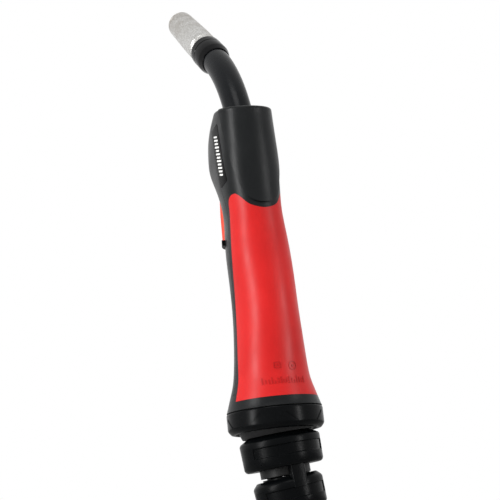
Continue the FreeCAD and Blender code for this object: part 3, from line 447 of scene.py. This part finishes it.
# %% Glossy collar finish
def glossy_collar():
    material, tree, shader, place = new_material(
        "Glossy collar", 0.16, specular=0.05, coat=0.10, coat_roughness=0.05)
    scratches = use_group(tree, grain_group, place, Grain_size=900.0, Smoothest=0.10, Roughest=0.20)
    tint = use_group(
        tree, drift_group, place, Base=(0.0035, 0.0035, 0.004, 1), Deep=(0.002, 0.002, 0.0024, 1),
        Dust=(0.2, 0.19, 0.18, 1), Cloud_size=120.0, Dust_amount=0.03)
    tree.links.new(tint["Color"], shader.inputs["Base Color"])
    tree.links.new(scratches["Roughness"], shader.inputs["Roughness"])
    bump(tree, shader, scratches["Height"], 0.003)
    return material


collar_gloss = glossy_collar()

# %% [markdown]
# The nozzle is plated copper that has seen some work: a warm grey satin, browner towards the mouth, with tiny
# beads of spatter. One side is also painted darker and browner, which is painted shade. The beads come from a
# Voronoi texture, whose cells give round bumps of many sizes. The tint along the barrel is a gradient on its own
# axis.

# %% Nozzle finish
def nozzle_finish():
    material, tree, shader, place = new_material("Plated nozzle", metallic=0.85)
    mapping = tree.nodes.new("ShaderNodeMapping")
    mapping.vector_type = "TEXTURE"
    turn = Vector((0, 0, 1)).rotation_difference(nozzle_axis)
    mapping.inputs["Location"].default_value = nozzle_point
    mapping.inputs["Rotation"].default_value = turn.to_euler()
    tree.links.new(place, mapping.inputs["Vector"])
    parts = tree.nodes.new("ShaderNodeSeparateXYZ")
    tree.links.new(mapping.outputs[0], parts.inputs[0])
    cut = use_group(tree, lines_group, mapping.outputs[0], Pitch=2200.0, Wander=0.5)
    cloud = noise(tree, place, 160.0, 5.0, 0.65)
    speck = noise(tree, place, 1100.0, 3.0, 0.7)
    beads = tree.nodes.new("ShaderNodeTexVoronoi")
    beads.inputs["Scale"].default_value = 700.0
    tree.links.new(place, beads.inputs["Vector"])
    bead_height = spread(tree, beads.outputs["Distance"], 0.12, 0.42, 1.0, 0.0)
    bead_gate = spread(tree, noise(tree, place, 260.0, 2.0), 0.52, 0.62, 0.0, 1.0)
    bead = maths(tree, "MULTIPLY", bead_height, bead_gate)
    heat = spread(tree, parts.outputs["Z"], 0.0, nozzle_high, 0.0, 0.5)
    # flank makes one side of the nozzle darker and browner: painted shade, not a stain.
    flank = spread(tree, parts.outputs["X"], -2.0 * MM, 10.0 * MM, 0.0, 0.85)
    soot_and_shade_reach = maths(tree, "ADD", maths(tree, "ADD", heat, 0.15), flank)
    soot_and_painted_shade = maths(tree, "MULTIPLY", soot_and_shade_reach, spread(tree, cloud, 0.32, 0.62, 0.25, 1.0), True)
    fleck = spread(tree, speck, 0.40, 0.60, 0.0, 1.0)
    plated = mixed(tree, fleck, (0.40, 0.395, 0.375, 1), (0.68, 0.68, 0.67, 1))
    # The dark brown is mixed in as soot and heat tint towards the mouth, and as painted shade on one side.
    heat_tint_and_painted_shade = mixed(tree, soot_and_painted_shade, plated, (0.20, 0.165, 0.130, 1))
    tree.links.new(heat_tint_and_painted_shade, shader.inputs["Base Color"])
    worn = spread(tree, cloud, 0.3, 0.7, 0.26, 0.40)
    rough = maths(tree, "ADD", worn, maths(tree, "MULTIPLY", bead, 0.12), True)
    tree.links.new(rough, shader.inputs["Roughness"])
    lumps = maths(tree, "ADD", bead, maths(tree, "MULTIPLY", speck, 0.5))
    height = maths(tree, "ADD", maths(tree, "MULTIPLY", cut["Height"], 0.25), lumps)
    bump(tree, shader, height, 0.045)
    return material


nozzle_metal = nozzle_finish()

# %% [markdown]
# The small metal parts are turned from bar: brass, copper, zinc-plated steel. Each gets tool
# lines round its own axis. Ceramic and natural nylon are the two pale finishes inside.

# %% Small metal and pale finishes
neck_copper = machined(
    "Drawn copper", (0.78, 0.42, 0.28), handle_axis, 0.25, 0.4, tarnish=(0.35, 0.18, 0.12, 1))
tip_copper = machined(
    "Turned copper", (0.80, 0.44, 0.30), nozzle_axis, 0.22, 0.36, tarnish=(0.32, 0.16, 0.10, 1))
turned_brass = machined(
    "Turned brass", (0.78, 0.58, 0.28), handle_axis, 0.22, 0.38, tarnish=(0.4, 0.28, 0.14, 1))
plated_steel = machined("Zinc-plated steel", (0.62, 0.63, 0.65), Vector((0, 1, 0)), 0.25, 0.42)
fired_ceramic = moulded("Fired ceramic", (0.80, 0.74, 0.64), 0.5, 0.65, 1200.0, 0.04, 0.1)
white_nylon = moulded("Natural nylon", (0.78, 0.76, 0.70), 0.35, 0.5, 1800.0, 0.02, 0.08)
mark_white = moulded("White print", (0.86, 0.86, 0.84), 0.35, 0.45, 1500.0, 0.006, 0.06)

# %% [markdown]
# Engineered pieces whose shape is already right keep it and only take a finish. A piece's
# material slot is filled on its object, and its mesh stays as it is.

# %% Finishes on the engineered pieces
cad_finishes = {
    "back_shell": shell_black, "front_shell": shell_black, "rear_collar": shell_black,
    "housing_screws": plated_steel, "ball_seat_ring": white_nylon, "joint_ball": ball_black,
    "neck_insulation": inner_grey, "neck_conductor": neck_copper, "wire_liner": plated_steel,
    "neck_union_nut": turned_brass, "power_block": turned_brass, "neck_o_rings": seal_black,
    "tip_holder": tip_copper, "gas_diffuser": fired_ceramic, "nozzle_spring": plated_steel,
    "contact_tip": tip_copper, "trigger": trigger_red, "trigger_pin": plated_steel,
    "trigger_spring": plated_steel, "switch_body": inner_grey, "switch_plunger": white_nylon,
    "switch_terminals": turned_brass, "switch_carrier": ball_black, "soft_grip": grip_red,
    "label_plate_left": plate_black, "label_plate_right": plate_black,
}
for node, material in cad_finishes.items():
    slots = frame["nodes"][node].data.materials
    if len(slots) == 0:
        slots.append(material)
    for index in range(len(slots)):
        slots[index] = material
print("finished", len(cad_finishes), "engineered pieces")

# %% [markdown]
# The gas nozzle is a turned sleeve. Near its foot two fine beads stand up between grooves, the
# barrel is straight and then narrows, and the mouth has a thin lip. It could be a cylinder
# with loop cuts, but a lathe profile spun round the axis is how the real one is made, and it
# gives the bore and the wall in one go.

# %% Gas nozzle
barrel_length = (nozzle_high - nozzle_low) / MM
foot_radii = radii("gas_nozzle", nozzle_point, nozzle_axis, nozzle_low - MM, nozzle_low + 4 * MM)
mouth_radii = radii("gas_nozzle", nozzle_point, nozzle_axis, nozzle_high - 1.2 * MM, nozzle_high + MM)
foot_bore, barrel_r = (r / MM for r in foot_radii)
mouth_bore, mouth_r = (r / MM for r in mouth_radii)
BEAD = 0.32
LIP = 1.9
barrel_profile = [
    (foot_bore, 0.0), (barrel_r - 0.3, 0.0), (barrel_r, 0.3), (barrel_r, 1.7), (barrel_r - BEAD, 2.0),
    (barrel_r - BEAD, 2.7), (barrel_r - 0.05, 3.0), (barrel_r - 0.05, 4.1), (barrel_r - BEAD, 4.4),
    (barrel_r - BEAD, 5.0), (barrel_r - 0.12, 5.3), (barrel_r - 0.12, 20.0),
    (mouth_r + 0.08, barrel_length - LIP), (mouth_r - 0.16, barrel_length - LIP + 0.2),
    (mouth_r - 0.16, barrel_length - LIP + 0.5), (mouth_r - 0.02, barrel_length - LIP + 0.75),
    (mouth_r - 0.05, barrel_length - 0.3), (mouth_r - 0.35, barrel_length),
    (mouth_bore + 0.3, barrel_length), (mouth_bore, barrel_length - 0.3),
    (barrel_r - 1.5, 22.0), (barrel_r - 1.5, 12.0), (foot_bore, 10.0),
]
bm = turned(barrel_profile, 128)
onto_axis(bm, nozzle_point + nozzle_axis * nozzle_low, nozzle_axis)
nozzle_piece = finished(bm, "nozzle_barrel", "nozzle", nozzle_metal, ["gas_nozzle"], sharp=28)

# %% [markdown]
# The collar behind the nozzle insulates it from the neck. It is a thick ring with a long
# chamfer at the neck side and a shallow groove before the nozzle. The gap round the neck stays
# open, as the dark line there is what makes the piece read as separate.

# %% Insulating collar
collar_low, collar_high = reach("nozzle_collar", nozzle_point, nozzle_axis)
collar_length = (collar_high - collar_low) / MM
collar_r = radii("nozzle_collar", nozzle_point, nozzle_axis, collar_low - MM, collar_high + MM)[1] / MM
neck_gap_r = radii("nozzle_collar", nozzle_point, nozzle_axis, collar_low - MM, collar_low + MM)[0] / MM
seat_r = radii("nozzle_collar", nozzle_point, nozzle_axis, collar_high - MM, collar_high + MM)[0] / MM
COUNTERBORE = 4.4
collar_profile = [
    (neck_gap_r, 0.5), (neck_gap_r + 0.35, 0.0), (collar_r - 1.75, 0.0), (collar_r - 1.35, 0.35),
    (collar_r - 0.25, 4.2), (collar_r, 5.2), (collar_r, 13.6), (collar_r - 0.3, 13.9), (collar_r - 0.3, 14.5),
    (collar_r, 14.8), (collar_r, collar_length - 0.4), (collar_r - 0.4, collar_length),
    (seat_r + 0.2, collar_length), (seat_r, collar_length - 0.2), (seat_r, collar_length - 7.0),
    (neck_gap_r - 1.7, collar_length - 7.0), (neck_gap_r - 1.7, COUNTERBORE), (neck_gap_r, COUNTERBORE),
]
bm = turned(collar_profile, 128)
onto_axis(bm, nozzle_point + nozzle_axis * collar_low, nozzle_axis)
finished(bm, "insulating_collar", "handle", collar_gloss, ["nozzle_collar"], sharp=28)

# %% [markdown]
# The neck's jacket is a tube with one straight stretch and one bend. Sweeping a circle along a
# curve object would do, but here a ring of edges is extruded up and then spun about the bend's
# centre, which is how a mandrel bends a tube and keeps its section round all the way.

# %% Neck jacket
NECK_BEND_R = 103.0 * MM
jacket_low, jacket_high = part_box("neck_jacket")
jacket_r = jacket_high.x
neck_y = jacket_low.y + jacket_r
bend_angle = math.acos(nozzle_axis.z)
bend_top = jacket_high.z - jacket_r * math.sin(bend_angle)
bend_z = bend_top - NECK_BEND_R * math.sin(bend_angle)
JACKET_WALL = 1.6 * MM
bm = bmesh.new()
start = Matrix.Translation((0, neck_y, jacket_low.z))
bmesh.ops.create_circle(bm, cap_ends=False, radius=jacket_r, segments=72, matrix=start)
ring = list(bm.edges)
STRAIGHT_STEPS = 8
for _ in range(STRAIGHT_STEPS):
    grown = bmesh.ops.extrude_edge_only(bm, edges=ring)["geom"]
    ring = [g for g in grown if isinstance(g, bmesh.types.BMEdge)]
    moved = [g for g in grown if isinstance(g, bmesh.types.BMVert)]
    bmesh.ops.translate(bm, vec=(0, 0, (bend_z - jacket_low.z) / STRAIGHT_STEPS), verts=moved)
bmesh.ops.spin(
    bm, geom=ring, cent=(0, neck_y + NECK_BEND_R, bend_z), axis=(-1, 0, 0), angle=bend_angle, steps=48)
neck_piece = finished(bm, "neck_sleeve", "handle", neck_black, ["neck_jacket"])
wall = neck_piece.modifiers.new("Jacket wall", "SOLIDIFY")
wall.thickness = JACKET_WALL
wall.offset = -1.0
print("bend begins at", round(bend_z / MM, 2), "and turns", round(math.degrees(bend_angle), 1), "degrees")

# %% [markdown]
# The union nut holds the ball joint together. It is a broad band with a rounded shoulder and
# slanted bars round it that help a hand to turn it. The bars lean one way and then the other.
# They are modelled as low raised ribs, because a slanted highlight needs a real edge.

# %% Union nut
nut_low, nut_high = reach("ring_nut", handle_point, handle_axis)
nut_height = (nut_high - nut_low) / MM
nut_inner, nut_r = (r / MM for r in radii("ring_nut", handle_point, handle_axis, nut_low - MM, nut_high + MM))
thread_r = radii("ring_nut", handle_point, handle_axis, nut_high - 0.5 * MM, nut_high + MM)[0] / MM
mouth_low = radii("ring_nut", handle_point, handle_axis, nut_low - MM, nut_low + 0.3 * MM)[0] / MM
print("nut", [round(size, 2) for size in (nut_height, nut_inner, nut_r, thread_r, mouth_low)])
NUT_TURN = 5.2
nut_profile = [
    (thread_r, nut_height), (thread_r, nut_height - 5.5), (nut_inner + 2.6, nut_height - 9.0),
    (mouth_low - 0.6, 1.4), (mouth_low, 0.0), (nut_r - 3.2, 0.0), (nut_r - 2.3, 0.25),
    (nut_r - 1.0, 1.7), (nut_r - 0.55, 2.5), (nut_r - 0.35, 3.0), (nut_r - 0.35, NUT_TURN - 1.4),
    (nut_r - 0.35, nut_height - 1.4), (nut_r - 0.6, nut_height - 0.55), (nut_r - 1.3, nut_height),
]
bm = turned(nut_profile, 144)
RIBS = 8
RIB_LENGTH = 9.6
RIB_WIDTH = 0.55
RIB_LEAN = 52.0
for index in range(RIBS):
    lean = math.radians(RIB_LEAN if index % 2 else -RIB_LEAN)
    rib = add(bm, block(0.9, RIB_WIDTH, RIB_LENGTH, 5))
    bmesh.ops.rotate(bm, cent=(0, 0, 0), matrix=Matrix.Rotation(lean, 3, "X"), verts=rib)
    for vertex in rib:
        turn = vertex.co.y / (nut_r * MM)
        out = nut_r * MM - 0.35 * MM + vertex.co.x * 0.75
        vertex.co = Vector((out * math.cos(turn), out * math.sin(turn), vertex.co.z + nut_height / 2 * MM))
    around = math.radians(-137 + 45 * index)
    bmesh.ops.rotate(bm, cent=(0, 0, 0), matrix=Matrix.Rotation(around, 3, "Z"), verts=rib)
onto_axis(bm, Vector((0, 0, nut_low)), handle_axis)
finished(bm, "union_nut", "handle", nut_black, ["ring_nut"], sharp=40)

# %% [markdown]
# The sleeve behind the nut is rubber: stiff links joined by pairs of webs, so that it bends one
# way at each gap. A link is a spun ring with a sloping shoulder. Two recessed panels are cut
# in its sides by insetting a patch of its faces and pushing the patch in, as a mould does.

# %% Bend protection: one link
SLEEVE_STEPS = 96
PANEL_SPAN = 138.0
PANEL_DEPTH = 0.9


def sleeve_link(bm, top, bottom, r_top, r_bottom, bore, foot, panel):
    """Add one link between two heights to a bmesh, with two panels facing -Y and +Y."""
    middle = (top + bottom) / 2
    shoulder = 3.0

    def wall_at(height):
        return r_bottom + (r_top - r_bottom) * (height - bottom) / (top - bottom)

    profile = [
        (bore, top), (foot - 0.5, top), (foot + 0.25, top - 0.35), (r_top - 0.7, top - shoulder + 0.5),
        (wall_at(top - shoulder - 0.6), top - shoulder - 0.6),
        (wall_at(middle + panel / 2), middle + panel / 2),
        (wall_at(middle - panel / 2), middle - panel / 2), (wall_at(bottom + 2.0), bottom + 2.0),
        (r_bottom - 0.5, bottom + 0.8), (r_bottom - 1.6, bottom), (bore + 0.3, bottom), (bore, bottom + 0.3),
    ]
    part = turned(profile, SLEEVE_STEPS)
    for facing in (-90.0, 90.0):
        patch = []
        for face in part.faces:
            centre = face.calc_center_median()
            level = abs(centre.z / MM - middle) < panel / 2 and centre.to_2d().length / MM > bore + 1.0
            away = math.degrees(math.atan2(centre.y, centre.x)) - facing
            away = abs((away + 180) % 360 - 180)
            if level and away < PANEL_SPAN / 2:
                patch.append(face)
        bmesh.ops.inset_region(part, faces=patch, thickness=0.35 * MM, depth=0.0, use_even_offset=True)
        bmesh.ops.inset_region(
            part, faces=patch, thickness=0.3 * MM, depth=-PANEL_DEPTH * MM, use_even_offset=True)
    return add(bm, part)


# %% [markdown]
# The links hang one below the other. At rest the first two gaps are a little bent and the whole
# sleeve leans about the centre of the ball. The same turns are applied to the vertices here, so
# that each link lies where the engineered one does; the printed boxes show how closely.

# %% Bend protection: the chain
sleeve_joint = Vector(joints["sleeve_tilt"]["pos_m"])
SLEEVE_TILT = 5.0
SLEEVE_BEND = 3.0
SEAM_Z = -70.0
LINKS = [
    (-15.2, -35.0, 24.6, 24.0, 7.0), (-41.0, -60.5, 21.3, 20.6, 7.0), (-66.5, -85.0, 20.2, 19.5, 6.0),
    (-91.0, -108.0, 19.0, 18.3, 5.0), (-113.5, -129.0, 17.8, 17.0, 4.0),
]
HOSE_LIP = mounts["hose_bore"]["dims"]["r_mm"]
HOSE_ROOM = HOSE_LIP + 0.5
STUB_BORE = 15.3
CORE_R = 14.4
SOCKET_FLOOR = -40.1
FIRST_FOOT = 20.0
WEB_WIDTH = 9.0
WEB_REACH = 7.2
WEB_PROUD = 0.2


def lean(bm, verts, gaps):
    """Bend vertices about the first gaps above them and tilt them about the ball."""
    for gap in range(min(gaps, 2), 0, -1):
        pivot = (LINKS[gap - 1][1] + LINKS[gap][0]) / 2
        turn = Matrix.Rotation(math.radians(-SLEEVE_BEND), 3, "Y")
        bmesh.ops.rotate(bm, cent=(0, 0, pivot * MM), matrix=turn, verts=verts)
    bmesh.ops.translate(bm, vec=(0, 0, SEAM_Z * MM), verts=verts)
    turn = Matrix.Rotation(math.radians(-SLEEVE_TILT), 3, "Y")
    bmesh.ops.rotate(bm, cent=sleeve_joint, matrix=turn, verts=verts)


bm = bmesh.new()
for index, (top, bottom, r_top, r_bottom, panel) in enumerate(LINKS):
    first = index == 0
    foot = FIRST_FOOT if first else r_top - 3.0
    bore = STUB_BORE if first else HOSE_ROOM
    if index == len(LINKS) - 1:
        bore = HOSE_LIP
    lean(bm, sleeve_link(bm, top, bottom, r_top, r_bottom, bore, foot, panel), index)
for index in range(1, len(LINKS)):
    above, below = LINKS[index - 1][1], LINKS[index][0]
    middle = (above + below) / 2
    cores = [(above + 1.5, middle - 0.5, index - 1), (middle + 0.5, below - 1.5, index)]
    if index == 1:
        cores = [(SOCKET_FLOOR, below - 1.5, index)]
    for high, low, gaps in cores:
        tube = turned([(HOSE_ROOM, low), (CORE_R, low), (CORE_R, high), (HOSE_ROOM, high)], SLEEVE_STEPS)
        lean(bm, add(bm, tube), gaps)
    high = above + 2.0
    low = below - WEB_REACH
    outer = LINKS[index][2] + WEB_PROUD
    inner = STUB_BORE if index == 1 else CORE_R - 0.6
    for side in (-1, 1):
        part = block(outer - inner, WEB_WIDTH, high - low)
        upright = [e for e in part.edges if abs(e.verts[0].co.z - e.verts[1].co.z) > MM]
        bmesh.ops.bevel(
            part, geom=upright, offset=1.2 * MM, offset_type="OFFSET", segments=4, profile=0.5,
            affect="EDGES", material=-1)
        sunk = outer * MM - (outer * outer * MM * MM - (WEB_WIDTH / 2 * MM) ** 2) ** 0.5
        bmesh.ops.translate(part, vec=(-sunk, 0, 0), verts=[v for v in part.verts if v.co.x > 0])
        web = add(bm, part)
        bmesh.ops.translate(bm, vec=((outer + inner) / 2 * MM, 0, (high + low) / 2 * MM), verts=web)
        facing = math.radians((90 if index % 2 == 1 else 0) + (0 if side > 0 else 180))
        bmesh.ops.rotate(bm, cent=(0, 0, 0), matrix=Matrix.Rotation(facing, 3, "Z"), verts=web)
        lean(bm, web, index - 1)
sleeve_piece = finished(
    bm, "bend_sleeve", "rear_sleeve", sleeve_black, ["bend_protection"], sharp=50)
soften(sleeve_piece, 0.35, 3, 32)
low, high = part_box("bend_protection")
print("engineered sleeve", [round(x / MM, 1) for x in (*low, *high)])
ends = [[f(v.co[k] for v in sleeve_piece.data.vertices) for k in range(3)] for f in (min, max)]
print("this sleeve      ", [round(x / MM, 1) for x in (*ends[0], *ends[1])])

# %% [markdown]
# Small raised marks and printed strokes lie on curved surfaces. They are drawn flat first, as
# low bars and rings, and each vertex is then dropped onto the surface below it: a ray finds
# the point, and the mark's own height is added along the ray. Moulders engrave in the same
# way, from a flat drawing. The marks here are plain shapes with no meaning.

# %% Laying a flat drawing on a surface
trees = {}


def surface(node):
    """The search tree of a CAD node's surface."""
    if node not in trees:
        mesh = frame["nodes"][node].data
        corners = [vertex.co for vertex in mesh.vertices]
        trees[node] = BVHTree.FromPolygons(corners, [face.vertices[:] for face in mesh.polygons])
    return trees[node]


def lay_on(bm, node, centre, across, up, outward):
    """Drop a drawing made in X and Y, with Z as its height, onto a node's outer surface."""
    tree = surface(node)
    for vertex in list(bm.verts):
        flat = centre + across * vertex.co.x + up * vertex.co.y
        hit = tree.ray_cast(flat + outward * 0.08, -outward)[0]
        if hit is None:
            raise ValueError("a mark reaches past the edge of " + node)
        vertex.co = hit + outward * vertex.co.z


def bar(bm, x, y, length, width, angle, height):
    """A low bar in the drawing, in millimetres, its long side turned by an angle."""
    verts = add(bm, block(length, width, 2 * height, 2))
    bmesh.ops.rotate(bm, cent=(0, 0, 0), matrix=Matrix.Rotation(math.radians(angle), 3, "Z"), verts=verts)
    bmesh.ops.translate(bm, vec=(x * MM, y * MM, 0), verts=verts)


def ring_mark(bm, x, y, radius, width, height, corners=28):
    """A low ring in the drawing; four corners make it a square frame."""
    part = bmesh.new()
    rim = [(radius - width, -height), (radius, -height), (radius, height), (radius - width, height)]
    corner_verts = [part.verts.new((r * MM, 0, z * MM)) for r, z in rim]
    edges = [part.edges.new((corner_verts[k - 1], corner_verts[k])) for k in range(4)]
    bmesh.ops.spin(
        part, geom=corner_verts + edges, cent=(0, 0, 0), axis=(0, 0, 1), angle=2 * math.pi,
        steps=corners, use_merge=True)
    verts = add(bm, part)
    bmesh.ops.rotate(bm, cent=(0, 0, 0), matrix=Matrix.Rotation(math.pi / corners, 3, "Z"), verts=verts)
    bmesh.ops.translate(bm, vec=(x * MM, y * MM, 0), verts=verts)


# %% [markdown]
# The foot of the soft grip carries small raised marks, as moulded parts do: here a frame, a ring with a dot, and a
# row of bars like a ruler's. They are in a deeper red than the grip, painted shade that stands in for the shadows
# round raised marks.

# %% Raised marks on the grip
MARK_HEIGHT = 0.32
marks_z = -51.2 * MM
bm = bmesh.new()
ring_mark(bm, 4.6, 4.3, 2.7, 0.55, MARK_HEIGHT)
ring_mark(bm, 4.6, 4.3, 0.9, 0.89, MARK_HEIGHT, 12)
ring_mark(bm, -5.3, 5.0, 2.7, 0.6, MARK_HEIGHT, 4)
bar(bm, -5.3, 5.0, 1.6, 0.5, 90, MARK_HEIGHT)
ROW = [4.0, 2.8, 2.8, 4.0, 1.8, 3.3, 4.0, 2.3, 3.3, 4.0, 2.8, 1.8, 4.0, 3.3, 2.8, 4.0]
ROW_PITCH = 1.72
for index, length in enumerate(ROW):
    x = (index - (len(ROW) - 1) / 2) * ROW_PITCH - 1.5
    bar(bm, x, -4.0 - (4.0 - length) / 2, length, 0.66, 90, MARK_HEIGHT)
lay_on(bm, "soft_grip", Vector((0, 0, marks_z)), Vector((1, 0, 0)), Vector((0, 0, 1)), Vector((0, -1, 0)))
finished(bm, "grip_marks", "handle", painted_shade_mark_red)

# %% [markdown]
# Each flank of the head has a let-in plate. It carries a row of slanted white strokes, raised
# by a twentieth of a millimetre, like thick screen print.

# %% Strokes on the plates
STROKES = [5.6, 6.8, 6.0, 7.2, 5.4, 6.6, 5.8, 7.2, 6.0, 6.6, 5.8, 5.2]
STROKE_PITCH = 2.45
PRINT_HEIGHT = 0.06
PLATE_LEAN = 13.0
for side, node in ((-1, "label_plate_left"), (1, "label_plate_right")):
    low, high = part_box(node)
    centre = (low + high) / 2
    slope = math.radians(PLATE_LEAN)
    along = Vector((0, math.sin(slope), math.cos(slope)))
    aside = Vector((0, math.cos(slope), -math.sin(slope))) * -side
    bm = bmesh.new()
    for index, length in enumerate(STROKES):
        y = ((len(STROKES) - 1) / 2 - index) * STROKE_PITCH
        bar(bm, 0.0, y, length, 1.15, 28, PRINT_HEIGHT)
    lay_on(bm, node, centre, aside, along, Vector((side, 0, 0)))
    finished(bm, "strokes_" + ("left" if side < 0 else "right"), "handle", mark_white)

# %% [markdown]
# A patch of fine hatching is engraved beside the nozzle's beads. On this scale raised hairlines look the same.

# %% Hatched patch on the nozzle
HATCH_LINES = 6
HATCH_PITCH = 0.62
HATCH_ABOVE_FOOT = 6.6
HATCH_FACING = math.radians(-22)
bm = bmesh.new()
for index in range(HATCH_LINES):
    bar(bm, 0.0, index * HATCH_PITCH, 5.2, 0.22, 0, 0.05)
patch_out = Vector((math.sin(HATCH_FACING), -math.cos(HATCH_FACING), 0))
patch_out = (patch_out - nozzle_axis * patch_out.dot(nozzle_axis)).normalized()
patch_across = nozzle_axis.cross(patch_out)
patch_centre = nozzle_point + nozzle_axis * (nozzle_low + HATCH_ABOVE_FOOT * MM)
trees["nozzle_barrel"] = BVHTree.FromPolygons(
    [v.co for v in nozzle_piece.data.vertices], [p.vertices[:] for p in nozzle_piece.data.polygons])
lay_on(bm, "nozzle_barrel", patch_centre, patch_across, nozzle_axis, patch_out)
finished(bm, "nozzle_hatching", "nozzle", nozzle_metal)

# %% [markdown]
# The camera stands behind and a little below the torch, turned to its left, with a long lens,
# so the handle keeps its proportions and the neck curves away to the upper left. The camera's
# three directions are worked out from the angles and become the columns of its matrix.

# %% Camera
AZIMUTH = math.radians(-22.0)
ELEVATION = math.radians(-12.0)
ROLL = math.radians(6.0)
DISTANCE = 0.9
LENS = 104.6
SENSOR_WIDTH = 36.0
aim = Vector((-4.21, 1.70, 29.9)) * MM
back = Vector((
    math.sin(AZIMUTH) * math.cos(ELEVATION), -math.cos(AZIMUTH) * math.cos(ELEVATION), math.sin(ELEVATION)))
level = Vector((math.cos(AZIMUTH), math.sin(AZIMUTH), 0))
upward = back.cross(level)
right = level * math.cos(ROLL) - upward * math.sin(ROLL)
up = level * math.sin(ROLL) + upward * math.cos(ROLL)
camera = bpy.data.objects.new("camera", bpy.data.cameras.new("camera"))
bpy.context.scene.collection.objects.link(camera)
camera.data.lens = LENS
camera.data.sensor_width = SENSOR_WIDTH
camera.data.clip_start = 0.01
facing = Matrix((right, up, back)).transposed().to_4x4()
camera.matrix_world = Matrix.Translation(aim + back * DISTANCE) @ facing
bpy.context.scene.camera = camera

# %% [markdown]
# A plain studio: a pale floor, a white world for whatever looks straight at it, and two tall
# soft lamps, a strong one to the left and a weaker one to the right. Between them the black
# parts stay dark, and that dark middle is what shows that they are round. A narrow lamp lights
# the bend of the neck, and a broad one from above lifts the upper faces.

# %% Studio
WORLD_LIGHT = 0.27
world = bpy.data.worlds.new("Studio")
bpy.context.scene.world = world
world.use_nodes = True
tree = world.node_tree
tree.nodes.clear()
path = tree.nodes.new("ShaderNodeLightPath")
seen = maths(tree, "ADD", path.outputs["Is Camera Ray"], path.outputs["Is Transmission Ray"], True)
seen = maths(tree, "ADD", seen, path.outputs["Is Glossy Ray"], True)
dim = tree.nodes.new("ShaderNodeBackground")
dim.inputs["Color"].default_value = (1, 1, 1, 1)
dim.inputs["Strength"].default_value = WORLD_LIGHT
white = tree.nodes.new("ShaderNodeBackground")
white.inputs["Color"].default_value = (1, 1, 1, 1)
white.inputs["Strength"].default_value = 1.0
choose = tree.nodes.new("ShaderNodeMixShader")
tree.links.new(seen, choose.inputs[0])
tree.links.new(dim.outputs[0], choose.inputs[1])
tree.links.new(white.outputs[0], choose.inputs[2])
tree.links.new(choose.outputs[0], tree.nodes.new("ShaderNodeOutputWorld").inputs["Surface"])


def lamp(name, side, lift, toward, width, height, power, distance=1.1):
    """A soft rectangular lamp placed by the camera's own directions and aimed at the torch."""
    light = bpy.data.lights.new(name, "AREA")
    light.shape = "RECTANGLE"
    light.size = width
    light.size_y = height
    light.energy = power
    holder = bpy.data.objects.new(name, light)
    bpy.context.scene.collection.objects.link(holder)
    away = (right * side + up * lift + back * toward).normalized()
    holder.location = aim + away * distance
    holder.rotation_mode = "QUATERNION"
    holder.rotation_quaternion = away.to_track_quat("Z", "Y")
    return holder


lamp("key", -1.0, 0.25, 0.62, 0.14, 0.9, 12.5)
lamp("crown", -0.70, -0.30, 1.00, 0.08, 0.25, 1.6, 1.0)
lamp("fill", 1.0, 0.20, 0.60, 0.07, 0.9, 7.0)
lamp("top", -0.15, 1.0, 0.35, 0.5, 0.3, 2.0)

floor_z = cad_box[0].z - 0.5 * MM
FLOOR_HALF = 3.0
bm = bmesh.new()
bmesh.ops.create_grid(bm, x_segments=1, y_segments=1, size=FLOOR_HALF)
bmesh.ops.translate(bm, vec=(0, 0, floor_z), verts=bm.verts)
floor_mesh = bpy.data.meshes.new("floor")
bm.to_mesh(floor_mesh)
bm.free()
floor = bpy.data.objects.new("floor", floor_mesh)
bpy.context.scene.collection.objects.link(floor)
floor_paint, _, floor_shader, _ = new_material("Pale floor", 0.8, specular=0.1)
floor_shader.inputs["Base Color"].default_value = (0.80, 0.80, 0.79, 1)
floor_mesh.materials.append(floor_paint)
bpy.context.scene.view_settings.view_transform = "Standard"

# %% [markdown]
# Last, the list of the finer pieces that were made. They must not make the torch larger than the engineered one,
# whose box is printed at the start.

# %% Pieces made
print("pieces made", len(made), made)
